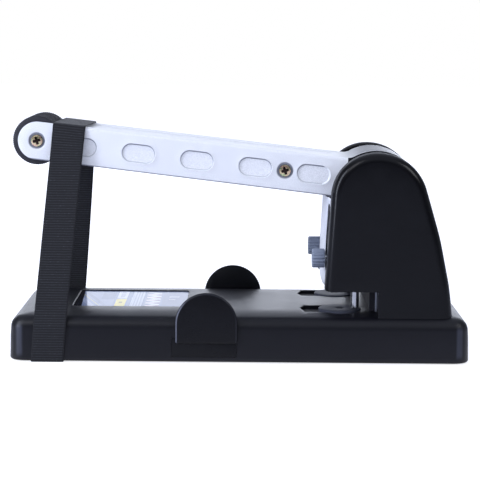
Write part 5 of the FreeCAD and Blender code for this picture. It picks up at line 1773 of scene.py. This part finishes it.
    def front_panel(self) -> None:
        """Make the folded front panel with its two slots and curled lip."""
        skin = Skin()
        flat_half, fold = self.panel_half - self.bend, self.bend * math.pi / 2
        across = flat_half + fold + 4.0
        rail = [-across, -flat_half - fold, -flat_half - fold * 0.66, -flat_half - fold * 0.33,
                -flat_half, -30.0, -20.0, -10.0, 0.0]
        rail += [-u for u in reversed(rail[:-1])]
        drop = [139.0, 130.0, 120.0, 110.0, 100.0, 90.0, 80.0, 74.0, 71.0, 68.0, 65.0, 62.0, 59.0,
                58.0]
        outline = [(u, drop[-1]) for u in rail] + [(across, v) for v in reversed(drop[1:-1])]
        outline += [(u, drop[0]) for u in reversed(rail)] + [(-across, v) for v in drop[1:-1]]
        slots = []
        for side in Side:
            def slot(grow: float, y: float = side.value * HOLE_Y) -> Outline:
                """A slot with round ends, standing upright."""
                length, width = self.slot_length + 2 * grow, self.slot_width + 2 * grow
                return [(-b, a) for a, b in oblong((self.slot_z, -y), length, width, 10)]
            slots.append(sunk(slot, ((0.7, 0.0), (0.35, -0.08), (0.1, -0.3), (0.0, -0.6)), False))
        skin.panel(outline, self.panel_place, slots, 4.0)
        piece = skin.build("slotted_panel", 45.0, 0.005)
        thicken(piece, self.panel_sheet, Vector((140.0, 0.0, 95.0)), (0.25, 60.0), 45.0)
        self.keep(piece, "base", "panel_silver", PANEL_SILVER, "front_panel")

    def knob(self, side: Side) -> None:
        """Make a ribbed clamping knob with a dished end.

        Args:
            side: Side of the punch.
        """
        skin = Skin()
        ribs, rib_start, rib_depth = 16, 7.2, 0.95

        def ripple(radius: float, turn: float) -> float:
            """The radius at an angle, less the valleys between the ribs."""
            wave = (math.cos(turn * ribs) + 1) / 2
            return radius if radius < rib_start else radius - rib_depth * wave ** 1.8

        profile = [(0.0, 63.3), (5.2, 63.3), (5.9, 62.75), (6.4, 62.6), (7.2, 62.62), (7.8, 62.85),
                   (8.15, 63.2), (8.3, 63.7), (8.3, 68.5), (8.3, 72.9), (8.1, 73.3), (7.7, 73.5),
                   (3.1, 73.5), (3.1, 70.8), (0.0, 70.8)]
        skin.lathe(profile, lambda a, b, h: Vector((h, side.value * HOLE_Y + a, self.knob_z + b)),
                   ribs * 12, ripple)
        self.keep(skin.build(f"ribbed_knob_{side.word}", 50.0), f"clamp_{side.word}",
                  "knob_plastic", KNOB_GREY, f"knob_{side.word}")

    def spring(self, side: Side) -> None:
        """Make a wound return spring.

        Args:
            side: Side of the punch.
        """
        skin = Skin()
        coil, wire, turns = 5.55, 0.72, 6.5
        x, y = self.spring_x, side.value * self.spring_y
        low, high = self.spring_low, self.spring_high
        steps = int(turns * 28)
        rows = []
        for share in (index / steps for index in range(steps + 1)):
            turn = math.tau * turns * share
            rise = low + wire + (high - low - 2 * wire) * blend_step(share, -0.05, 1.05)
            spoke = Vector((math.cos(turn), math.sin(turn), 0.0))
            centre = Vector((x, y, rise)) + spoke * coil
            rows.append([centre + (spoke * u + Vector((0, 0, 1)) * v) * wire
                         for u, v in circle((0.0, 0.0), 1.0, 10)])
        skin.loft(rows, caps=True)
        piece = skin.build(f"coil_{side.word}", 60.0)
        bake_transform(piece)
        self.keep(piece, "", "spring_steel", WIRE_STEEL, f"return_spring_{side.word}")


@dataclass
class Handle(Assembly):
    """The channel handle with its hood, levers and rolling grip, drawn along the handle."""

    half: float = 35.0
    sheet: float = 1.6
    up: float = 16.4
    edge: float = 3.0
    hood: float = 39.8
    sweep: float = 12.0
    web_start: float = -274.2
    underside: float = -4.4
    underside_end: float = 30.0
    lug: float = 12.0
    hem_step: float = 7.5
    columns: tuple[float, ...] = (-32.0, -31.2, -30.2, -29.6, -28.9, -28.2, -27.6, -24.0, -14.0)
    trough_depth: float = 1.8
    trough_start: Flat = (-262.0, -256.0)
    trough_end: Flat = (-42.0, -34.0)
    trough_side: Flat = (27.6, 30.2)
    dimple: float = 7.0
    grip_radius: float = 21.2
    grip_gap: float = 0.6
    groove: float = 0.5
    ring_groove: float = 0.35
    screw_turn: float = 23.0
    seat: float = 1.0

    def build(self) -> None:
        """Make and dress every piece of the handle."""
        self.channel()
        self.grip()
        self.screw_pair("lever_screws", LINE.screw, "handle_screws")
        self.screw_pair("end_screws", LINE.grip, "grip_screws")
        self.dress(OXIDE, "lever_arm_near", "lever_arm_far", bevel=0.4)
        self.dress(BRONZE, "lever_bushes", bevel=0.2)
        self.dress(CHROME, "crank_rollers", "crank_pin", "grip_axle", bevel=0.2)
        self.dress(BRIGHT_ZINC, "spacer_tube", bevel=0.2)
        self.dress(CORE_BLACK, "grip_core", bevel=0.3)

    def lay(self, piece: Piece) -> Piece:
        """Carry a piece drawn along the handle to the handle's place.

        Args:
            piece: The piece.

        Returns:
            The same piece.
        """
        pivot = Vector((LINE.pivot_x, 0.0, LINE.pivot_z)) * MM
        piece.data.transform(Matrix.Translation(pivot) @ Matrix.Rotation(LINE.turn, 4, "Y"))
        return piece

    def spine(self) -> list[tuple[float, float, float, float]]:
        """Top line from the web's start to the hood's rear edge.

        Returns:
            Points, each a place and the outward direction there.
        """
        top = LINE.grip[1] + self.up
        rise, reach = top + self.sweep, self.hood + self.sweep
        start = -math.sqrt(reach * reach - rise * rise)
        line = [(self.web_start + (start - self.web_start) * i / 60, top, 0.0, 1.0)
                for i in range(61)]
        turn = math.degrees(math.acos(rise / reach))
        for x, z in arc((0.0, 0.0), 1.0, -90, -90 + turn, 8)[1:]:
            line.append((start + self.sweep * x, rise + self.sweep * z, -x, -z))
        first = math.degrees(math.atan2(rise, start))
        last = math.degrees(math.asin(self.underside / self.hood))
        for x, z in arc((0.0, 0.0), 1.0, first, last, 40)[1:]:
            line.append((self.hood * x, self.hood * z, x, z))
        return line

    def trough(self, x: float, y: float) -> float:
        """Depth of the trough along the handle's top, at a place on its straight part."""
        ends = blend_step(x, *self.trough_start) * (1 - blend_step(x, *self.trough_end))
        return self.trough_depth * ends * (1 - blend_step(abs(y), *self.trough_side))

    def channel(self) -> None:
        """Make the pressed channel: top web, hood and both flanges."""
        skin = Skin()
        spine = self.spine()
        columns = [*self.columns, 0.0, *[-y for y in reversed(self.columns)]]
        roll = [(self.half - self.edge * (1 - math.cos(a)), self.edge * (1 - math.sin(a)))
                for a in quarter(6)[:-1]]
        rows = []
        for x, z, nx, nz in spine:
            straight = nz > 0.9999 and x < self.trough_end[1] + 4.0
            section = [(-y, sink) for y, sink in roll]
            section += [(y, self.trough(x, y) if straight else 0.0) for y in columns]
            section += reversed(roll)
            rows.append([(x - nx * sink, y, z - nz * sink) for y, sink in section])
        rings = skin.loft(rows, closed=False)
        fold = [(x - nx * self.edge, z - nz * self.edge) for x, z, nx, nz in spine]
        for side in Side:
            self.flange(skin, side, fold, [ring[0 if side is Side.NEAR else -1] for ring in rings])
        piece = skin.build("handle_shell", 40.0, 0.01)
        thicken(piece, self.sheet, Vector((-120.0, 0.0, 5.0)), (0.3, 62.0), 40.0)
        self.keep(self.lay(piece), "handle", "handle_paint", HANDLE_SILVER, "handle_channel")

    def flange(self, skin: Skin, side: Side, fold: Outline, edge_ring: list[int]) -> None:
        """Add one side of the channel with its embossings and screw dimples.

        Args:
            skin: The channel's surface.
            side: Side of the handle.
            fold: The fold's line along the top.
            edge_ring: Numbers of the points along the fold.
        """
        grip_x, grip_z = LINE.grip
        y = side.value * self.half

        def place(u: float, v: float, h: float) -> Vector:
            """A place on the flange; a height sinks towards the middle."""
            return Vector((u, y + side.value * h, v))

        fall = (grip_z - self.up - self.underside) / grip_x
        lug_turn = math.degrees(math.asin(-self.underside / self.lug))
        lug = arc((0.0, 0.0), self.lug, -lug_turn, -180 + lug_turn, 20)
        hem = [lug[-1][0] - 4 - i * self.hem_step for i in range(1, 37)]
        rest = [(self.underside_end, self.underside), (20.0, self.underside), *lug]
        rest += [(x, self.underside + fall * x) for x in hem if x > grip_x + 6]
        rest += arc(LINE.grip, self.up, 268.0, 90.0, 36)
        rest += [(self.web_start - 10.0, grip_z + self.up), (self.web_start, grip_z + self.up)]
        rim = edge_ring + skin.ring(place(u, v, 0.0) for u, v in rest)
        wall = ((2.3, 0.0), (1.9, 0.16), (1.45, 0.14), (1.05, -0.25), (0.6, -1.1), (0.2, -1.42),
                (-0.3, -1.5))
        step_in = ((0.75, 0.0), (0.45, -0.06), (0.15, -0.35), (0.0, -0.8), (-0.4, -1.0),
                   (-3.8, -1.0))
        reliefs = []
        for index in range(5):
            def pressing(grow: float, x: float = LINE.emboss[0] + LINE.emboss_pitch * index
                         ) -> Outline:
                """An embossing's outline, grown by an amount."""
                return oblong((x, LINE.emboss[1]), LINE.emboss_length + 2 * grow,
                              LINE.emboss_height + 2 * grow, 14)
            reliefs.append(sunk(pressing, wall))
        for centre in (LINE.grip, LINE.screw):
            def dimple(grow: float, centre: Flat = centre) -> Outline:
                """A screw dimple's outline, grown by an amount."""
                return circle(centre, self.dimple + grow, 40)
            reliefs.append(sunk(dimple, step_in, False))
        skin.panel(fold + rest, place, reliefs, 5.0, rim)

    def grip(self) -> None:
        """Make the rolling grip: fine ribs along it, crossed by shallow rings."""
        skin = Skin()
        half = self.half - self.sheet - self.grip_gap
        ribs, rings, outer = 72, 22, self.grip_radius
        profile: list[Flat] = [(16.05, -half), (19.4, -half), (20.4, -half + 0.3),
                               (21.0, -half + 1.0), (outer, -half + 2.2)]
        for index in range(rings):
            middle = -half + 3.0 + (2 * half - 6.0) * index / (rings - 1)
            profile += [(outer, middle - 0.95), (outer - self.ring_groove, middle - 0.5),
                        (outer - self.ring_groove, middle + 0.35), (outer, middle + 0.8)]
        profile += [(radius, -y) for radius, y in reversed(profile[:5])]
        profile.append(profile[0])

        def ripple(radius: float, turn: float) -> float:
            """The radius at an angle, less the grooves between the ribs."""
            groove = self.groove * (0.5 + 0.5 * math.cos(turn * ribs)) ** 3
            return radius if radius < 20.7 else radius - groove

        skin.lathe(profile, lambda a, b, h: Vector((LINE.grip[0] + a, h, LINE.grip[1] + b)),
                   ribs * 5, ripple)
        self.keep(self.lay(skin.build("grip_cover", 60.0)), "grip", "grip_rubber", GRIP_RUBBER,
                  "grip_sleeve")

    def screw_pair(self, name: str, centre: Flat, node: str) -> None:
        """Make a cross-head screw in each flange.

        Args:
            name: Name of the piece.
            centre: Place of both screws, along the handle and above its line.
            node: The solid that they stand for.
        """
        skin = Skin()
        a, seat = math.radians(self.screw_turn), self.half - self.seat
        for side in Side:
            def place(u: float, v: float, h: float, s: int = side.value) -> Vector:
                """A place on this side's screw."""
                x, z = u * math.cos(a) - v * math.sin(a), u * math.sin(a) + v * math.cos(a)
                return Vector((centre[0] - s * x, s * seat + s * h, centre[1] + z))

            screw_head(skin, place, 5.3, 2.6, 3.5)
            skin.lathe([(3.0, 0.0), (3.0, -9.0), (0.0, -9.0)], place, 32)
        self.keep(self.lay(skin.build(name, 35.0)), "handle", "zinc_screws", YELLOW_ZINC, node)


@dataclass
class Strap(Assembly):
    """The elastic strap: a lower band round the base and an upper band over the handle."""

    left: float = -177.9
    top_left: float = -162.14
    top: float = 200.5
    width: float = 28.0
    thick: float = 0.9
    split: float = 33.0
    clear: float = 0.35
    under: float = 0.5
    side_top: float = 32.0
    side_round: float = 14.0
    handle_half: float = 35.0
    handle_top: float = 30.4
    spacing: float = 6.0
    far_bulge: float = 2.4
    near_shift: float = 0.4
    columns: tuple[float, ...] = (0.0, 0.25, 1.2, 3.5, 7.0, 10.5, 14.0, 17.5, 21.0, 24.5, 26.8,
                                  27.75, 28.0)
    selvedge: float = 0.9
    ripple: float = 0.10
    wavy_start: float = 60.0
    squeezed: float = 0.16

    def build(self) -> None:
        """Make both bands."""
        path = self.path()
        first = next(i for i, p in enumerate(path) if p[1] >= self.split)
        last = len(path) - 1 - next(i for i, p in enumerate(reversed(path)) if p[1] >= self.split)
        start, end = self.cut(path[first - 1], path[first]), self.cut(path[last + 1], path[last])
        upper, length = self.band("strap_upper", [start, *path[first:last + 1], end], True)
        self.keep(upper, "base", "strap_web", STRAP_WEB, "elastic_strap")
        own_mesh(upper)
        lower, length = self.band("strap_lower", [end, *path[last + 1:], *path[:first], start],
                                  False)
        self.keep(lower, "base", "strap_web", STRAP_WEB, "elastic_strap")

    def cut(self, low: Flat, high: Flat) -> Flat:
        """The point of a run at the split's height."""
        share = (self.split - low[1]) / (high[1] - low[1])
        return low[0] + (high[0] - low[0]) * share, self.split

    def crest(self, x: float) -> float:
        """Height of the handle's top over the floor at a place along the punch."""
        rise = self.handle_top / math.cos(LINE.turn) + (LINE.pivot_x - x) * math.tan(LINE.turn)
        return LINE.pivot_z + rise

    def edge_at(self, y: float, z: float) -> float:
        """Find where the strap's left edge runs.

        Args:
            y: Place across the punch.
            z: Height over the floor.

        Returns:
            The edge's place along the punch.
        """
        far = blend_step(y, -30.0, 30.0)
        bulge = math.sin(min(max(z, 0.0), 200.0) / 200.0 * math.pi / 2)
        slack = far * self.far_bulge * bulge - self.near_shift * (1 - far)
        return self.left + (self.top_left - self.left) * z / self.top + slack

    def path(self) -> Outline:
        """The strap's middle line across the punch, from the near floor edge.

        Returns:
            Points as Y and Z.
        """
        gap = self.clear + self.thick / 2
        crown = self.crest(self.top_left + self.width / 2) + gap
        side, top = BASE_HALF + gap, self.handle_half + gap
        half = [(side, self.under, 1.2), (side, self.side_top, self.side_round),
                (top, crown, 2.2)]
        line = rounded([(-y, *spot) for y, *spot in half] + half[::-1])
        dense: Outline = []
        for here, after in zip(line, [*line[1:], line[0]]):
            parts = max(1, round(math.dist(here, after) / self.spacing))
            dense += [(here[0] + (after[0] - here[0]) * i / parts,
                       here[1] + (after[1] - here[1]) * i / parts) for i in range(parts)]
        return dense

    def band(self, name: str, line: Outline, over: bool) -> tuple[Piece, float]:
        """A woven band along a line.

        Args:
            name: Name of the piece.
            line: Points across the punch, as Y and Z.
            over: Whether it lies over the sloping handle.

        Returns:
            The piece and its length along the line.
        """
        skin = Skin()
        crown = max(z for _, z in line)
        along = 0.0
        spots: Outline = []
        rows = []
        for index, (y, z) in enumerate(line):
            before, after = line[max(index - 1, 0)], line[min(index + 1, len(line) - 1)]
            if index:
                along += math.dist(line[index - 1], (y, z))
            way = Vector((after[0] - before[0], after[1] - before[1])).normalized()
            lift = blend_step(z, crown - 30.0, crown - 2.0) if over else 0.0
            wavy = 0.0 if z <= self.wavy_start else self.ripple * (0.3 if lift else 1.0)
            ring = []
            for face, order in ((1.0, self.columns), (-1.0, reversed(self.columns))):
                for s in order:
                    away = face * self.plump(s) * self.thick * 0.96
                    away += wavy * math.sin(along * 0.21 + s * 0.13)
                    fall = -math.tan(LINE.turn) * (s - self.width / 2) * lift
                    ring.append(Vector((self.edge_at(y, z) + s, y - way.y * away,
                                        z + way.x * away + fall)))
            rows.append(ring)
            spots += [self.woven(point, along) for point in ring]
        skin.loft(rows, caps=True)
        piece = skin.build(name, 55.0, 0.0)
        layer = piece.data.uv_layers.new(name="weave")
        for loop in piece.data.loops:
            layer.data[loop.index].uv = spots[loop.vertex_index]
        return piece, along

    def plump(self, s: float) -> float:
        """Half the band's share of thickness at a place across it, less at its selvedges."""
        edge = min(s, self.width - s) / self.selvedge
        return 0.5 * math.sqrt(min(max(edge, 0.0), 1.0))

    def woven(self, point: Vector, along: float) -> Flat:
        """A point's place on the band's own map, in metres."""
        s = point.x - self.edge_at(point.y, point.z)
        return along * MM, min(max(s, 0.0), self.width) * MM


# ---------------- studio


@dataclass(frozen=True)
class SoftBox:
    """One soft lamp that looks at the punch."""

    name: str
    where: tuple[float, float, float]
    size: Flat
    power: float
    colour: Colour
    aim: tuple[float, float, float] = (0.0, 0.0, 0.09)

    def light(self) -> None:
        """Add the lamp."""
        data = bpy.data.lights.new(self.name, "AREA")
        data.shape = "RECTANGLE"
        data.size, data.size_y = self.size
        data.energy = self.power
        data.color = self.colour
        lamp = bpy.data.objects.new(self.name, data)
        lamp.location = self.where
        look = Vector(self.aim) - Vector(self.where)
        lamp.rotation_euler = look.to_track_quat("-Z", "Y").to_euler()
        bpy.context.scene.collection.objects.link(lamp)


@dataclass
class Studio:
    """Camera, floor, world and lamps."""

    lens: float = 117.73
    sensor: float = 36.0
    stand: tuple[float, float, float] = (-0.0002, -1.39333, 0.28732)
    down: float = 7.8196
    roll: float = 0.4899
    floor_reach: float = 6.0
    floor_colour: Colour = (0.57, 0.58, 0.66)
    floor_glow: Colour = (0.72, 0.72, 0.72)
    sky_tint: Colour = (0.88, 0.95, 1.13)
    lamps: tuple[SoftBox, ...] = (
        SoftBox("key", (-0.9, -1.3, 1.5), (0.8, 0.8), 6.5, (0.97, 0.98, 1.03)),
        SoftBox("left", (-1.05, -0.58, 0.52), (0.28, 1.0), 10.0, (0.88, 0.94, 1.12)),
        SoftBox("right", (1.00, -0.60, 0.85), (0.45, 0.50), 3.5, (0.96, 0.98, 1.02)),
        SoftBox("back", (0.0, 2.0, 0.36), (3.0, 0.45), 10.0, (0.92, 0.96, 1.06)),
    )

    def build(self) -> None:
        """Set the whole studio up."""
        self.camera()
        self.floor()
        self.world()
        for lamp in self.lamps:
            lamp.light()
        bpy.context.scene.view_settings.view_transform = "Standard"

    def camera(self) -> None:
        """Place the camera."""
        data = bpy.data.cameras.new("view")
        data.lens, data.sensor_width = self.lens, self.sensor
        data.clip_start, data.clip_end = 0.05, 50.0
        camera = bpy.data.objects.new("view", data)
        look = Matrix.Rotation(math.radians(90.0 - self.down), 4, "X")
        roll = Matrix.Rotation(math.radians(self.roll), 4, "Z")
        camera.matrix_world = Matrix.Translation(self.stand) @ look @ roll
        bpy.context.scene.collection.objects.link(camera)
        bpy.context.scene.camera = camera

    def floor(self) -> None:
        """Lay a wide pale floor that is white to the eye and behind the punch in reflections."""
        mesh = bpy.data.meshes.new("floor")
        reach = self.floor_reach
        mesh.from_pydata([(x * reach, y * reach, 0.0)
                          for x, y in ((-1, -1), (1, -1), (1, 1), (-1, 1))], [], [(0, 1, 2, 3)])
        floor = bpy.data.objects.new("floor", mesh)
        bpy.context.scene.collection.objects.link(floor)
        material = bpy.data.materials.new("pale_floor")
        graph = Graph(material)
        seen, _, _, glossy, _, _, through = graph.add("ShaderNodeLightPath")[:7]
        x, y, _ = graph.axes()
        behind = y.eased(-250.0, 50.0) * x.size().faded(150.0, 400.0)
        mirrored = glossy * (0.10 + behind * 0.90)
        glow = graph.mix(seen + mirrored + through, (0.0, 0.0, 0.0), self.floor_glow)
        graph.dress(Base_Color=(*self.floor_colour, 1.0), Roughness=0.9, Specular_IOR_Level=0.0,
                    Emission_Color=glow, Emission_Strength=1.0)
        mesh.materials.append(material)

    def world(self) -> None:
        """Set white surroundings behind, dimmer overhead and in front."""
        world = bpy.data.worlds.new("studio")
        bpy.context.scene.world = world
        graph = Graph(world)
        seen, _, _, glossy, _, _, through = graph.add("ShaderNodeLightPath")[:7]
        way = graph.add("ShaderNodeTexCoord")[0]
        x, y, z = graph.add("ShaderNodeSeparateXYZ", {}, {0: way})
        front = y.faded(-0.6, 0.1) * z.faded(0.1, 0.7)
        sheen = 1.0 - front * 0.9 - z.eased(0.14, 0.40) * 0.3
        sheen = sheen * (1.0 - x.size().eased(0.3, 0.7) * 0.7)
        dome = 0.94 - x * 0.12 - z.eased(0.3, 1.0) * 0.4
        shown = seen + through
        unseen = 1.0 - shown
        level = glossy * sheen + (1.0 - glossy) * dome
        tint = graph.mix(unseen, (1.0, 1.0, 1.0), self.sky_tint)
        sky = graph.add("ShaderNodeBackground", {}, {0: tint, 1: shown + unseen * level})[0]
        graph.add("ShaderNodeOutputWorld", {}, {0: sky})


def main() -> None:
    """Build the studio and every sub-assembly in turn."""
    logging.basicConfig(level=logging.INFO, format="%(message)s")
    Studio().build()
    for assembly in (Base(), PaperGuides(), PunchHead(), Handle(), Strap()):
        assembly.build()
        LOG.info("%s: %d new pieces", type(assembly).__name__, len(assembly.made))


if __name__ == "__main__":
    main()
